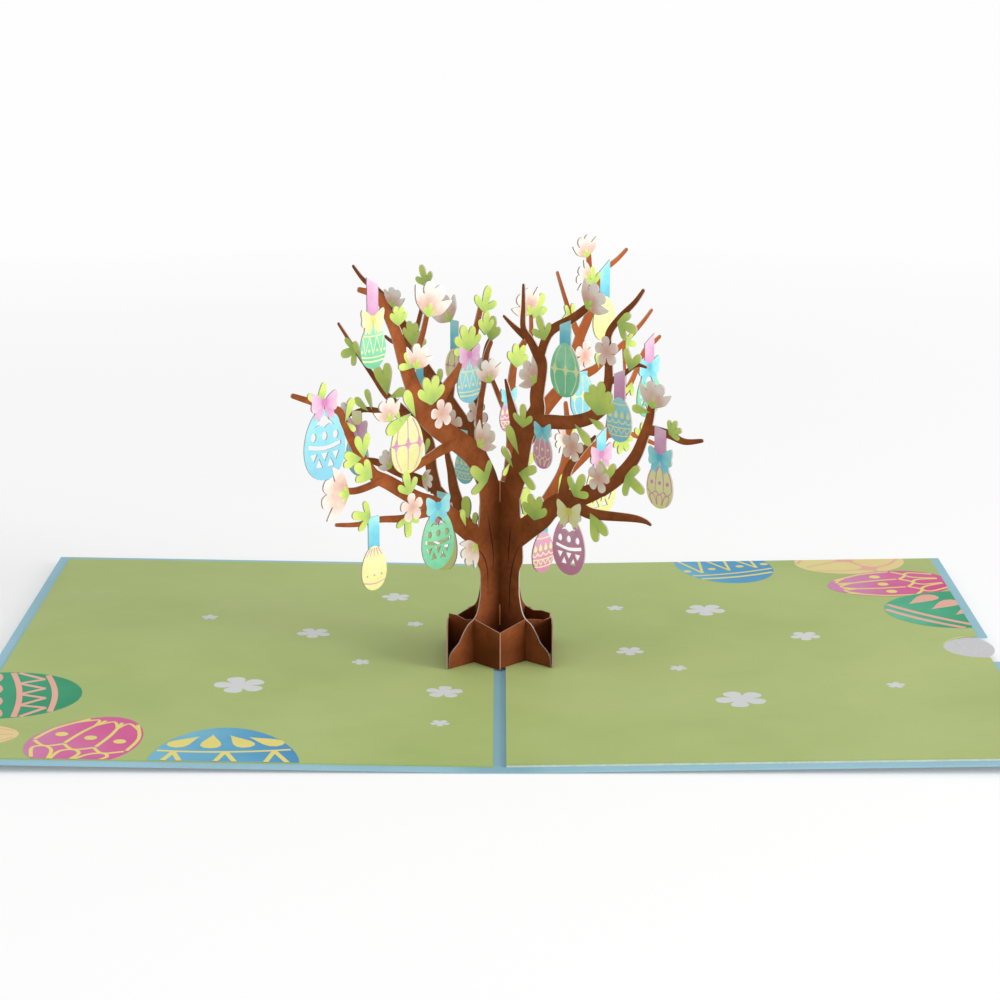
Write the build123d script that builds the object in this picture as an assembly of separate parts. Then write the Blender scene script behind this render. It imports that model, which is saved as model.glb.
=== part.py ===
"""Pop up card: an open folded card whose two slotted tree sheets stand over the fold.

Frame: X across the open card, Y along the fold away from the reader, Z up.
The origin is under the middle of the fold, on the surface that the card lies on.
A sheet of the tree is drawn flat, u along the sheet and z up, and then stood up at 45 degrees.
"""
from math import atan2, cos, pi, radians, sin, sqrt, tan
import os

from build123d import *

# Folded cover, open: each half rises a little from the fold to its outer edge.
half_width = 127.0
card_length = 178.0
board = 0.4
half_lift = 2.05
fold_width = 2.4

# Printed liners, one on each half.
liner = 0.3
liner_border = 2.9
liner_fold_gap = 3.0

# Pocket behind the right liner, and its pull-out note card.
rail_height = 0.44
rail_width = 6.0
fold_rail_width = 13.8
note = 0.3
note_side_gap = 0.6
note_lift = 0.07
tab_reach = 126.7
tab_width = 19.0
tab_round = 14.0
tab_setback = 6.0
tab_corner = 2.5
thumb_place = -1.0
thumb_radius = 9.5
thumb_centre = 123.2
cover_notch_radius = 10.9

# Tree sheets.
sheet = 0.3
sheet_reach = 68.0
sheet_height = 107.0
tree_place = -1.1
trunk_top_share = 0.4355
seat_gap = 0.08
trunk_half_width = 6.9
slot_gap = 0.1
relief_width = 0.8
relief_length = 5.4
lower_relief_top = 14.3
limb_width = 5.0
leaf_length = 6.4
blossom_length = 6.8
flower_radius = 3.7
egg_height = 15.0
egg_width = 10.9
ribbon_width = 3.7
bow_width = 8.0
bow_height = 5.0

# Slotted foot round the trunk.
foot_reach = 18.5
foot_height = 12.2
brace_height = 12.2
anchor_height = 12.4
tongue_length = 6.0
tongue_inset = 3.0

overrun = 12.0

# Branches: widths at base and tip as shares of limb_width, then places as shares of the sheet.
limbs_a_shares = (
    (1.05, 0.24, ((-0.04, 0.27), (-0.20, 0.35), (-0.27, 0.385), (-0.34, 0.415), (-0.43, 0.44), (-0.56, 0.49),
                  (-0.62, 0.51), (-0.65, 0.53), (-0.71, 0.58), (-0.77, 0.65), (-0.80, 0.68), (-0.92, 0.71),
                  (-1.00, 0.73))),
    (0.40, 0.30, ((-0.59, 0.50), (-0.68, 0.49), (-0.74, 0.49), (-0.79, 0.50))),
    (0.50, 0.18, ((-0.31, 0.40), (-0.41, 0.40), (-0.50, 0.40), (-0.61, 0.41), (-0.71, 0.41), (-0.81, 0.42))),
    (1.50, 0.95, ((-0.05, 0.36), (-0.06, 0.43), (-0.12, 0.50), (-0.19, 0.54), (-0.33, 0.60), (-0.40, 0.64))),
    (1.05, 0.26, ((-0.38, 0.62), (-0.44, 0.70), (-0.48, 0.76), (-0.52, 0.83), (-0.58, 0.90), (-0.60, 0.92),
                  (-0.69, 0.94))),
    (0.80, 0.32, ((-0.36, 0.62), (-0.28, 0.68), (-0.21, 0.72), (-0.16, 0.76), (-0.13, 0.80), (-0.10, 0.86))),
    (0.45, 0.30, ((-0.46, 0.72), (-0.42, 0.78), (-0.39, 0.82), (-0.37, 0.86))),
    (0.60, 0.40, ((-0.22, 0.55), (-0.30, 0.54), (-0.35, 0.53), (-0.40, 0.52), (-0.45, 0.51))),
    (0.50, 0.28, ((-0.09, 0.50), (-0.11, 0.59), (-0.10, 0.64), (-0.08, 0.73), (-0.05, 0.77))),
    (1.30, 0.80, ((0.03, 0.40), (0.10, 0.50), (0.17, 0.54), (0.24, 0.59), (0.33, 0.63))),
    (0.85, 0.55, ((0.31, 0.62), (0.39, 0.70), (0.43, 0.75), (0.47, 0.79), (0.51, 0.85))),
    (0.45, 0.32, ((0.50, 0.84), (0.48, 0.88), (0.47, 0.94))),
    (0.50, 0.16, ((0.43, 0.74), (0.40, 0.77), (0.36, 0.82), (0.30, 0.91))),
    (0.36, 0.20, ((0.51, 0.84), (0.54, 0.89), (0.63, 0.92), (0.68, 0.94))),
    (0.60, 0.18, ((0.33, 0.63), (0.44, 0.65), (0.51, 0.66), (0.57, 0.68), (0.67, 0.71), (0.77, 0.75),
                  (0.83, 0.78))),
    (0.64, 0.20, ((0.31, 0.40), (0.40, 0.43), (0.49, 0.46), (0.58, 0.49), (0.61, 0.55), (0.69, 0.59),
                  (0.73, 0.62), (0.79, 0.68), (0.85, 0.70), (0.88, 0.71))),
    (0.20, 0.16, ((0.68, 0.57), (0.68, 0.64), (0.67, 0.71))),
    (0.38, 0.20, ((0.57, 0.49), (0.71, 0.48), (0.86, 0.44))),
    (1.05, 0.24, ((0.04, 0.26), (0.16, 0.31), (0.25, 0.36), (0.32, 0.41), (0.35, 0.45), (0.37, 0.51),
                  (0.36, 0.55), (0.35, 0.59))),
    (0.80, 0.20, ((0.04, 0.42), (0.06, 0.52), (0.05, 0.59), (0.06, 0.67), (0.08, 0.72), (0.13, 0.76),
                  (0.16, 0.77), (0.16, 0.83))),
    (0.40, 0.24, ((0.05, 0.58), (0.01, 0.62), (-0.04, 0.68))),
)
limbs_b_shares = (
    (1.40, 0.75, ((-0.03, 0.36), (-0.06, 0.42), (-0.14, 0.52), (-0.20, 0.56), (-0.28, 0.61))),
    (0.85, 0.18, ((-0.26, 0.59), (-0.38, 0.66), (-0.48, 0.72), (-0.51, 0.76), (-0.57, 0.80), (-0.66, 0.84),
                  (-0.74, 0.86), (-0.80, 0.89))),
    (0.28, 0.18, ((-0.49, 0.73), (-0.57, 0.72), (-0.62, 0.73))),
    (0.36, 0.22, ((-0.48, 0.71), (-0.46, 0.74), (-0.43, 0.79), (-0.41, 0.83), (-0.39, 0.88))),
    (0.30, 0.24, ((-0.26, 0.60), (-0.24, 0.68))),
    (0.85, 0.28, ((-0.16, 0.53), (-0.12, 0.61), (-0.09, 0.67), (-0.07, 0.74), (-0.05, 0.77))),
    (0.90, 0.18, ((-0.34, 0.37), (-0.37, 0.43), (-0.38, 0.49), (-0.44, 0.52), (-0.51, 0.55), (-0.57, 0.57),
                  (-0.63, 0.59), (-0.70, 0.63), (-0.79, 0.68), (-0.89, 0.74))),
    (0.44, 0.18, ((-0.50, 0.55), (-0.62, 0.54), (-0.71, 0.54), (-0.78, 0.53), (-0.85, 0.51))),
    (1.15, 0.30, ((-0.04, 0.26), (-0.11, 0.285), (-0.21, 0.32), (-0.28, 0.35), (-0.35, 0.38), (-0.43, 0.39),
                  (-0.57, 0.40), (-0.67, 0.41), (-0.73, 0.41))),
    (0.95, 0.18, ((-0.18, 0.31), (-0.24, 0.38), (-0.26, 0.43), (-0.28, 0.47), (-0.28, 0.50))),
    (1.30, 0.75, ((0.02, 0.35), (0.09, 0.46), (0.13, 0.56), (0.19, 0.62), (0.19, 0.66), (0.21, 0.73),
                  (0.20, 0.75))),
    (0.62, 0.16, ((0.20, 0.745), (0.16, 0.78), (0.12, 0.81), (0.12, 0.86), (0.12, 0.91))),
    (0.42, 0.14, ((0.13, 0.79), (0.07, 0.81), (0.02, 0.83))),
    (0.56, 0.40, ((0.20, 0.74), (0.23, 0.79), (0.27, 0.82), (0.36, 0.85), (0.43, 0.88))),
    (0.85, 0.16, ((0.10, 0.53), (0.07, 0.60), (0.05, 0.64), (0.03, 0.68))),
    (0.76, 0.62, ((0.13, 0.58), (0.23, 0.60), (0.35, 0.61), (0.45, 0.63), (0.52, 0.66))),
    (0.62, 0.18, ((0.51, 0.65), (0.54, 0.72), (0.54, 0.79), (0.54, 0.83), (0.59, 0.87), (0.66, 0.91),
                  (0.70, 0.94))),
    (0.36, 0.12, ((0.54, 0.72), (0.60, 0.74), (0.67, 0.77), (0.72, 0.77))),
    (1.30, 0.80, ((0.00, 0.27), (0.15, 0.34), (0.22, 0.37), (0.29, 0.41), (0.44, 0.45), (0.53, 0.48))),
    (0.80, 0.42, ((0.51, 0.47), (0.60, 0.51), (0.67, 0.56), (0.71, 0.61), (0.74, 0.66), (0.75, 0.71))),
    (0.56, 0.18, ((0.72, 0.63), (0.82, 0.63), (0.90, 0.62), (0.98, 0.63))),
    (0.80, 0.16, ((0.32, 0.41), (0.33, 0.45), (0.35, 0.50), (0.40, 0.54), (0.48, 0.59))),
    (0.76, 0.14, ((0.34, 0.43), (0.44, 0.41), (0.51, 0.41), (0.66, 0.42), (0.72, 0.42), (0.75, 0.415))),
)

# Leaves: place, number of lobes, heading and spread in degrees from u towards z, and length share.
leaves_a_shares = (
    (-0.09, 0.845, 3, 71, 48, 1.05), (-0.08, 0.79, 3, 84, 32, 0.95), (-0.16, 0.76, 5, 110, 33, 1.1),
    (-0.51, 0.845, 4, 87, 27, 0.85), (-0.44, 0.745, 2, 148, 45, 0.75), (-0.35, 0.65, 4, 92, 30, 1.25),
    (-0.43, 0.63, 1, 115, 30, 1.2), (-0.45, 0.64, 1, 205, 30, 1.4), (-0.50, 0.625, 1, 120, 30, 0.9),
    (-0.765, 0.65, 1, 65, 30, 0.95), (-0.76, 0.65, 1, 318, 30, 0.6), (-0.87, 0.70, 2, 115, 66, 0.8),
    (-0.68, 0.56, 2, 95, 36, 0.95), (-0.69, 0.56, 2, 176, 26, 0.9), (-0.64, 0.51, 3, 145, 30, 1.1),
    (-0.46, 0.45, 3, 103, 40, 1.0), (-0.65, 0.42, 3, 165, 50, 0.95), (-0.47, 0.405, 3, 272, 56, 0.9),
    (-0.07, 0.44, 3, 141, 60, 1.15), (-0.18, 0.345, 1, 108, 30, 0.75), (0.17, 0.81, 3, 57, 34, 1.1),
    (0.50, 0.865, 3, 102, 48, 0.8), (0.37, 0.805, 2, 166, 74, 0.5), (0.38, 0.795, 1, 85, 30, 0.6),
    (0.68, 0.715, 3, 340, 50, 0.7), (0.08, 0.70, 4, 75, 30, 1.05), (0.53, 0.66, 1, 100, 30, 0.65),
    (0.72, 0.61, 2, 250, 50, 0.6), (0.05, 0.475, 1, 119, 30, 0.8), (0.05, 0.475, 1, 232, 30, 0.6),
    (0.08, 0.45, 1, 25, 30, 1.2), (0.14, 0.31, 1, 92, 30, 1.6), (0.31, 0.375, 1, 69, 30, 0.75),
    (0.67, 0.485, 4, 277, 34, 0.95), (0.79, 0.46, 2, 115, 40, 0.7), (0.37, 0.49, 1, 60, 30, 0.6),
)
leaves_b_shares = (
    (-0.39, 0.87, 3, 111, 44, 0.9), (-0.47, 0.72, 4, 88, 26, 1.1), (-0.46, 0.72, 1, 25, 30, 0.75),
    (-0.79, 0.685, 3, 203, 50, 1.0), (-0.76, 0.66, 1, 121, 30, 0.85), (-0.61, 0.585, 2, 107, 32, 1.35),
    (-0.60, 0.58, 1, 26, 30, 1.05), (-0.70, 0.54, 1, 114, 30, 0.9), (-0.72, 0.535, 1, 154, 30, 0.95),
    (-0.33, 0.63, 1, 79, 30, 0.8), (-0.05, 0.765, 3, 80, 30, 1.05), (-0.40, 0.46, 1, 72, 30, 0.7),
    (-0.10, 0.51, 3, 35, 34, 0.9), (-0.18, 0.295, 1, 89, 30, 1.4), (-0.14, 0.30, 1, 80, 30, 0.75),
    (-0.09, 0.68, 1, 335, 30, 0.5), (0.23, 0.79, 3, 113, 42, 1.0), (0.58, 0.86, 3, 348, 42, 1.0),
    (0.64, 0.755, 2, 77, 50, 0.85), (0.49, 0.64, 5, 80, 25, 1.35), (0.12, 0.575, 3, 90, 44, 0.95),
    (0.10, 0.51, 1, 121, 30, 1.25), (0.45, 0.63, 1, 338, 30, 0.8), (0.38, 0.61, 1, 320, 30, 1.1),
    (0.10, 0.465, 2, 355, 48, 1.0), (0.07, 0.475, 1, 127, 30, 0.9), (0.18, 0.36, 4, 87, 32, 1.15),
    (0.38, 0.44, 3, 62, 48, 1.05), (0.54, 0.49, 2, 90, 52, 0.85), (0.63, 0.515, 3, 330, 62, 1.05),
    (0.46, 0.41, 2, 304, 34, 1.15), (0.83, 0.63, 4, 40, 34, 0.7), (0.74, 0.67, 1, 176, 30, 0.9),
)

# Blossoms seen from the side: place, heading in degrees and length share.
blossoms_a_shares = (
    (-0.37, 0.855, 67, 1.25), (-0.43, 0.74, 69, 0.9), (-0.55, 0.63, 106, 0.85), (-0.75, 0.485, 172, 1.25),
    (-0.12, 0.295, 215, 0.85), (-0.06, 0.675, 92, 0.9), (-0.12, 0.53, 37, 0.95), (0.46, 0.935, 102, 0.85),
    (0.16, 0.82, 116, 1.0), (0.48, 0.885, 164, 0.75), (0.36, 0.505, 185, 0.65), (0.11, 0.30, 72, 0.65),
)
blossoms_b_shares = (
    (-0.58, 0.805, 78, 0.75), (-0.26, 0.795, 127, 1.0), (-0.59, 0.405, 142, 0.75), (-0.42, 0.40, 350, 0.6),
    (-0.09, 0.69, 120, 0.5), (-0.84, 0.51, 140, 0.6), (0.43, 0.88, 47, 1.0), (0.19, 0.69, 150, 0.9),
    (0.75, 0.68, 80, 0.95),
)
# Open five-petal blossoms: place and turn in degrees.
flowers_a_shares = ((-0.30, 0.625, 100), (-0.45, 0.42, 95), (0.45, 0.70, 80))
flowers_b_shares = ((0.53, 0.79, 95), (0.50, 0.495, 80), (-0.25, 0.55, 90), (-0.12, 0.585, 60), (0.37, 0.555, 75))

# Hanging eggs: place, size share, 1 for an egg with cut-outs, top of its ribbon, 1 for a bow.
eggs_a_shares = (
    (-0.86, 0.61, 1.17, 1, 0.0, 1), (-0.63, 0.82, 0.68, 0, 0.955, 1), (-0.47, 0.57, 0.97, 0, 0.0, 0),
    (-0.16, 0.69, 0.74, 0, 0.0, 1), (-0.32, 0.33, 1.00, 1, 0.0, 1), (-0.635, 0.30, 0.74, 0, 0.42, 0),
    (0.56, 0.78, 0.78, 0, 0.91, 0), (0.44, 0.60, 0.78, 0, 0.66, 0), (0.82, 0.57, 0.84, 1, 0.71, 1),
    (0.045, 0.59, 0.58, 0, 0.0, 1), (0.23, 0.235, 0.72, 0, 0.345, 0), (0.55, 0.36, 1.05, 1, 0.50, 1),
)
eggs_b_shares = (
    (-0.79, 0.42, 0.80, 0, 0.53, 1), (-0.43, 0.59, 0.62, 0, 0.70, 0), (-0.24, 0.69, 0.60, 0, 0.80, 0),
    (-0.19, 0.45, 0.60, 0, 0.54, 0), (-0.31, 0.25, 1.00, 1, 0.375, 1),
    (0.33, 0.73, 0.90, 0, 0.84, 0), (0.595, 0.64, 0.73, 0, 0.75, 0), (0.22, 0.53, 0.60, 0, 0.0, 1),
    (0.79, 0.51, 0.76, 0, 0.64, 1), (0.355, 0.32, 1.00, 1, 0.0, 1),
)

# Lobes of leaves and petals: greatest half width as a share of their length.
leaf_half_share = 0.19
petal_half_share = 0.24
side_petals = 4
petal_spread = 29
flower_petals = 5
flower_half_share = 0.42
# One lobe of a leaf, a side blossom and an open flower: along its length and across its half width.
leaf_lobe_shares = ((0.74, 1.00), (0.97, 0.50))
petal_lobe_shares = ((0.80, 1.00), (1.00, 0.55))
flower_lobe_shares = ((0.70, 1.00), (0.97, 0.55))
# Notch between two lobes, along their length.
leaf_notch_share = 0.50
petal_notch_share = 0.72
flower_notch_share = 0.40
# Outer side of a fan's first and last lobe, along it and across it.
shoulder_share = (0.38, 0.62)
# Lobes fill this much of the room between them, and the outermost of a fan are shorter by the loss.
room_share = 0.70
outer_loss_share = 0.24
# Egg: corners of its outline, and how much wider its lower half is.
egg_points = 14
egg_taper_share = 0.14
# Cut-outs of a pierced egg, as shares of its width and height.
arch_shares = ((-0.24, 0.24), (0.0, 0.40), (0.24, 0.24), (0.12, 0.27), (0.0, 0.22), (-0.12, 0.27))
bar_shares = ((-0.40, 0.02), (0.0, -0.03), (0.40, 0.02), (0.40, -0.04), (0.0, -0.09), (-0.40, -0.04))
dot_place_shares = ((-0.27, 0.11), (0.0, 0.11), (0.27, 0.11))
dot_radius_share = 0.055
dot_sides = 6
upper_tooth_shares = ((-0.09, 0.0), (0.0, -0.12), (0.09, 0.0))
upper_tooth_place_shares = ((-0.27, -0.12), (0.0, -0.12), (0.27, -0.12))
lower_tooth_shares = ((-0.09, 0.0), (0.0, 0.13), (0.09, 0.0))
lower_tooth_place_shares = ((-0.14, -0.32), (0.14, -0.32))
# Ribbons and bows of small eggs are drawn this much bigger than the egg's own share.
ribbon_growth_share = 1.3
bow_growth_share = 1.2
# Bow: right wing, across and up from its knot, as shares of its size.
bow_shares = ((0.10, 0.16), (0.48, 0.50), (0.50, 0.05), (0.36, -0.40), (0.10, -0.16))
# Edge of the trunk from its top down, across its half width and up its height.
trunk_edge_shares = ((1.06, 1.0), (1.04, 0.865), (1.20, 0.607), (1.02, 0.521), (1.00, 0.436))
# Ogee edge of the tree's foot, from the trunk to its tip.
foot_edge_shares = ((0.38, 1.45), (0.43, 1.15), (0.50, 1.00), (0.61, 0.91), (0.71, 0.74), (0.79, 0.57),
                    (0.92, 0.43), (0.975, 0.29), (1.00, 0.0))
# Top edges of the braces along their length, and of the anchors from front to back, and up.
high_brace_shares = ((0.0, 0.84), (0.5, 1.0), (0.68, 0.93), (0.84, 0.98), (1.0, 0.97))
low_brace_shares = ((0.0, 0.84), (0.5, 1.0), (0.72, 0.92), (0.88, 0.85), (1.0, 0.88))
anchor_top_shares = ((0.0, 1.0), (0.25, 0.94), (0.50, 0.84), (0.70, 0.68), (0.85, 0.58), (1.0, 0.54))

across = (1 / sqrt(2), 1 / sqrt(2), 0)
back_across = (1 / sqrt(2), -1 / sqrt(2), 0)
anchor_x = foot_reach / sqrt(2)
trunk_top = sheet_height * trunk_top_share


def rise(x):
    """Height of the cover's underside over the table at x."""
    slope = half_lift / (half_width - fold_width / 2)
    return max(0, abs(x) - fold_width / 2) * slope


def left_top(x):
    """Height of the left liner's face."""
    return rise(x) + board + liner


def right_top(x):
    """Height of the right liner's face, over the pocket."""
    return rise(x) + board + rail_height + liner


def outline(points):
    """Flat face inside a closed run of points."""
    return make_face(Polyline(*points, close=True))


def band(x_from, x_to, low, high):
    """Layer of one card half between two heights over the cover's underside, longer than the card."""
    xs = [x_from, x_to]
    if x_from < 0 < x_to:
        xs = [x_from, -fold_width / 2, fold_width / 2, x_to]
    points = [(x, rise(x) + low) for x in xs] + [(x, rise(x) + high) for x in reversed(xs)]
    return extrude(Plane.XZ * outline(points), amount=card_length, both=True)


def plan(face):
    """Upright prism over a plan outline, tall enough to cut any layer."""
    return extrude(Plane.XY * face, amount=overrun, both=True)


def block(x_from, x_to, y_from, y_to):
    """Plan rectangle between two x and two y places."""
    return outline([(x_from, y_from), (x_to, y_from), (x_to, y_to), (x_from, y_to)])


liner_inner = liner_fold_gap / 2
liner_outer = half_width - liner_border
liner_end = card_length / 2 - liner_border
note_end = liner_end - rail_width - note_side_gap
note_inner = liner_inner + fold_rail_width + note_side_gap


def cover():
    """Folded board with a half-round thumb notch in its right edge."""
    body = band(-half_width, half_width, 0, board)
    body &= plan(block(-half_width, half_width, -card_length / 2, card_length / 2))
    return body - plan(Pos(thumb_centre + liner_border, thumb_place) * Circle(cover_notch_radius))


def slits(side):
    """Plan slits that let the anchors' tongues through a liner."""
    cuts = []
    for y_from, y_to in tongue_spans():
        inner, outer = sorted((side * (anchor_x - slot_gap / 2), side * (anchor_x + sheet + slot_gap / 2)))
        cuts.append(block(inner, outer, y_from - slot_gap / 2, y_to + slot_gap / 2))
    return cuts


def tongue_spans():
    """Places along Y of an anchor's two tongues."""
    end = anchor_x - tongue_inset
    return [(tree_place - end, tree_place - end + tongue_length),
            (tree_place + end - tongue_length, tree_place + end)]


def liner_sheet(side):
    """Printed sheet on one half, with slits for the anchor, and a thumb cut on the right."""
    low = board if side < 0 else board + rail_height
    inner, outer = sorted((side * liner_inner, side * liner_outer))
    body = band(inner, outer, low, low + liner)
    shape = block(inner, outer, -liner_end, liner_end)
    for cut in slits(side):
        shape -= cut
    if side > 0:
        shape -= Pos(thumb_centre, thumb_place) * Circle(thumb_radius)
        shape -= Pos(thumb_centre + thumb_radius / 2, thumb_place) * Rectangle(thumb_radius, 2 * thumb_radius)
    return body & plan(shape)


def pocket_rails():
    """One glued spacer along three sides of the pocket, open at the card's right edge."""
    body = band(liner_inner, liner_outer, board, board + rail_height)
    shape = block(liner_inner, liner_outer, -liner_end, liner_end)
    room = block(liner_inner + fold_rail_width, half_width, rail_width - liner_end, liner_end - rail_width)
    shape -= room
    for cut in slits(1):
        shape -= cut
    return body & plan(shape)


def note_card():
    """Pull-out card with a rounded tab in the thumb cut."""
    low = board + note_lift
    body = band(note_inner, half_width, low, low + note)
    shape = block(note_inner, tab_reach - tab_setback, -note_end, note_end)
    tab = Pos(tab_reach - tab_round, thumb_place) * Circle(tab_round)
    tab &= Pos(tab_reach - tab_setback, thumb_place) * Rectangle(2 * tab_setback, tab_width)
    tab = fillet(tab.vertices().sort_by(Axis.X)[-2:], tab_corner)
    return body & plan(shape + tab)


def stretched(shares, width, height):
    """Shares turned into points of a piece."""
    return [(u * width, z * height) for u, z in shares]


def limb(base_share, tip_share, place_shares):
    """Tapered branch along its middle line, with a blunt pointed tip."""
    middle = stretched(place_shares, sheet_reach, sheet_height)
    last = len(middle) - 1
    left, right = [], []
    for step, (u, z) in enumerate(middle):
        before, after = middle[max(step - 1, 0)], middle[min(step + 1, last)]
        heading = atan2(after[1] - before[1], after[0] - before[0])
        half = limb_width * (base_share + (tip_share - base_share) * step / last) / 2
        left.append((u - half * sin(heading), z + half * cos(heading)))
        right.append((u + half * sin(heading), z - half * cos(heading)))
    end = limb_width * tip_share / 2
    point = (middle[-1][0] + end * cos(heading), middle[-1][1] + end * sin(heading))
    return outline(left + [point] + right[::-1])


def turned(points, place, heading):
    """Points turned by an angle in degrees and moved to a place."""
    c, s = cos(radians(heading)), sin(radians(heading))
    return [(place[0] + a * c - b * s, place[1] + a * s + b * c) for a, b in points]


def lobe_reaches(count, length, full_ring):
    """Lengths of a fan's lobes, shorter to its sides. All lobes of a full ring or a pair are alike."""
    if full_ring or count < 3:
        return [length] * count
    return [length * (1 - outer_loss_share * abs(2 * step / (count - 1) - 1)) for step in range(count)]


def lobes(place, count, heading, spread, length, half_share, lobe_shares, notch_share, full_ring=False):
    """Fan or full ring of round-ended lobes about a place."""
    points = [] if full_ring else [place]
    slimness = min(half_share, room_share * tan(radians(spread / 2)))
    reaches = lobe_reaches(count, length, full_ring)
    for step, reach in enumerate(reaches):
        is_last = step == count - 1 and not full_ring
        sides = stretched(lobe_shares, reach, reach * slimness)
        run = [(a, -b) for a, b in sides] + sides[::-1]
        shoulder = (reach * shoulder_share[0], reach * slimness * shoulder_share[1])
        if step == 0 and not full_ring:
            run = [(shoulder[0], -shoulder[1])] + run
        if is_last:
            run.append(shoulder)
        turn = heading + spread * (step - (count - 1) / 2)
        points += turned(run, place, turn)
        if not is_last:
            notch = notch_share * min(reach, reaches[(step + 1) % count])
            points += turned([(notch, 0)], place, turn + spread / 2)
    return outline(points)


def leaf(u_share, z_share, count, heading, spread, length_share):
    place = (u_share * sheet_reach, z_share * sheet_height)
    length = leaf_length * length_share
    return lobes(place, count, heading, spread, length, leaf_half_share, leaf_lobe_shares, leaf_notch_share)


def blossom(u_share, z_share, heading, length_share):
    place = (u_share * sheet_reach, z_share * sheet_height)
    length = blossom_length * length_share
    return lobes(place, side_petals, heading, petal_spread, length, petal_half_share, petal_lobe_shares,
                 petal_notch_share)


def flower(u_share, z_share, turn):
    place = (u_share * sheet_reach, z_share * sheet_height)
    return lobes(place, flower_petals, turn, 360 / flower_petals, flower_radius, flower_half_share,
                 flower_lobe_shares, flower_notch_share, full_ring=True)


def egg_outline(size):
    """Egg, blunt end down."""
    ring = []
    for step in range(egg_points):
        angle = 2 * pi * step / egg_points
        narrowing = 1 - egg_taper_share * cos(angle)
        ring.append((egg_width * size / 2 * sin(angle) * narrowing, egg_height * size / 2 * cos(angle)))
    return outline(ring)


def egg_cuts(size):
    """Cut-outs of a pierced egg: a scalloped arch, three dots, a bent bar and two rows of teeth."""
    wide, tall = egg_width * size, egg_height * size
    cuts = [outline(stretched(arch_shares, wide, tall)), outline(stretched(bar_shares, wide, tall))]
    for place in stretched(dot_place_shares, wide, tall):
        cuts.append(Pos(*place) * RegularPolygon(dot_radius_share * tall, dot_sides))
    for shares, places in ((upper_tooth_shares, upper_tooth_place_shares),
                           (lower_tooth_shares, lower_tooth_place_shares)):
        tooth = outline(stretched(shares, wide, tall))
        cuts += [Pos(*place) * tooth for place in stretched(places, wide, tall)]
    return cuts


def egg_centre(egg):
    return (egg[0] * sheet_reach, egg[1] * sheet_height)


def hanging_egg(u_share, z_share, size, pierced, ribbon_share, bow):
    """Faces of an egg with its ribbon and bow."""
    u, z = u_share * sheet_reach, z_share * sheet_height
    top = z + egg_height * size / 2
    faces = [Pos(u, z) * egg_outline(size)]
    if ribbon_share:
        half = ribbon_width / 2 * min(1, size * ribbon_growth_share)
        faces.append(outline([(u - half, z), (u + half, z), (u + half, ribbon_share * sheet_height),
                              (u - half, ribbon_share * sheet_height)]))
    if bow:
        scale_share = min(1, size * bow_growth_share)
        wing = stretched(bow_shares, bow_width * scale_share, bow_height * scale_share)
        ring = wing + [(-a, b) for a, b in reversed(wing)]
        faces.append(Pos(u, top) * outline(ring))
    return faces


def trunk():
    """Trunk with its flared foot, both sides alike."""
    right = stretched(trunk_edge_shares, trunk_half_width, trunk_top)
    right += stretched(foot_edge_shares, foot_reach, foot_height)
    return outline(right + [(-u, z) for u, z in reversed(right)])


def standing(face, origin, u_axis):
    """Flat sheet stood up at origin, along u_axis, with its thickness shared by both sides."""
    normal = Vector(*u_axis).cross(Vector(0, 0, 1))
    upright = Plane(origin=origin, x_dir=u_axis, z_dir=normal)
    return upright * extrude(face, amount=sheet / 2, both=True)


def ground(x):
    """Lowest point of a piece standing at x, just over the liner below it."""
    return seat_gap + (right_top(x) if x > 0 else left_top(x))


def tree_sheet(u_axis, limbs, leaves, blossoms, flowers, eggs, slot_from_top):
    """One printed and cut tree sheet, slotted for the other sheet and for the braces."""
    faces = [trunk()]
    faces += [limb(*row) for row in limbs]
    faces += [leaf(*row) for row in leaves]
    faces += [blossom(*row) for row in blossoms]
    faces += [flower(*row) for row in flowers]
    for row in eggs:
        faces += hanging_egg(*row)
    shape = Sketch() + faces
    for row in eggs:
        if row[3]:
            shape -= [Pos(*egg_centre(row)) * cut for cut in egg_cuts(row[2])]
    slot = sheet + slot_gap
    slot_length = trunk_top / 2 + relief_length
    slot_direction = 1 if slot_from_top else -1
    shape -= Pos(0, trunk_top / 2 + slot_direction * slot_length / 2) * Rectangle(slot, slot_length)
    relief_top = trunk_top if slot_from_top else lower_relief_top
    shape -= Pos(0, relief_top - relief_length / 2) * Rectangle(relief_width, relief_length)
    for side in (-1, 1):
        shape -= Pos(side * foot_reach / 2, 0) * Rectangle(slot, brace_height)
    tip = foot_reach - sheet / 2 - seat_gap * sqrt(2)
    for side in (-1, 1):
        shape -= Pos(side * (tip + overrun / 2), 0) * Rectangle(overrun, 2 * anchor_height)
    floor = [(u, ground(u / sqrt(2))) for u in (-foot_reach, -liner_inner, liner_inner, foot_reach)]
    shape -= outline([(-foot_reach, -overrun)] + floor + [(foot_reach, -overrun)])
    return standing(shape, (0, tree_place, 0), u_axis)


def brace(end_side, from_side, top_shares, through):
    """One brace of the foot, from the front or back corner to a side corner, slotted from above.

    A brace that runs through closes both corners, and the others stop at its faces.
    """
    start = -sheet / 2 if through else sheet / 2 + seat_gap
    stop = foot_reach - sheet / 2 - seat_gap * (sqrt(2) if through else 1)
    low = [ground(end_side * liner_inner), ground(end_side * anchor_x)]
    points = [(start, low[0]), (liner_inner * sqrt(2), low[0]), (stop, low[1])]
    for along, up in reversed(top_shares):
        points.append((start + (stop - start) * along, low[0] + (brace_height - low[0]) * up))
    face = outline(points)
    slot = sheet + slot_gap
    face -= Pos(foot_reach / 2, brace_height) * Rectangle(slot, brace_height)
    u_axis = (end_side / sqrt(2), -from_side / sqrt(2), 0)
    return standing(face, (0, tree_place + from_side * anchor_x, 0), u_axis)


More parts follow.
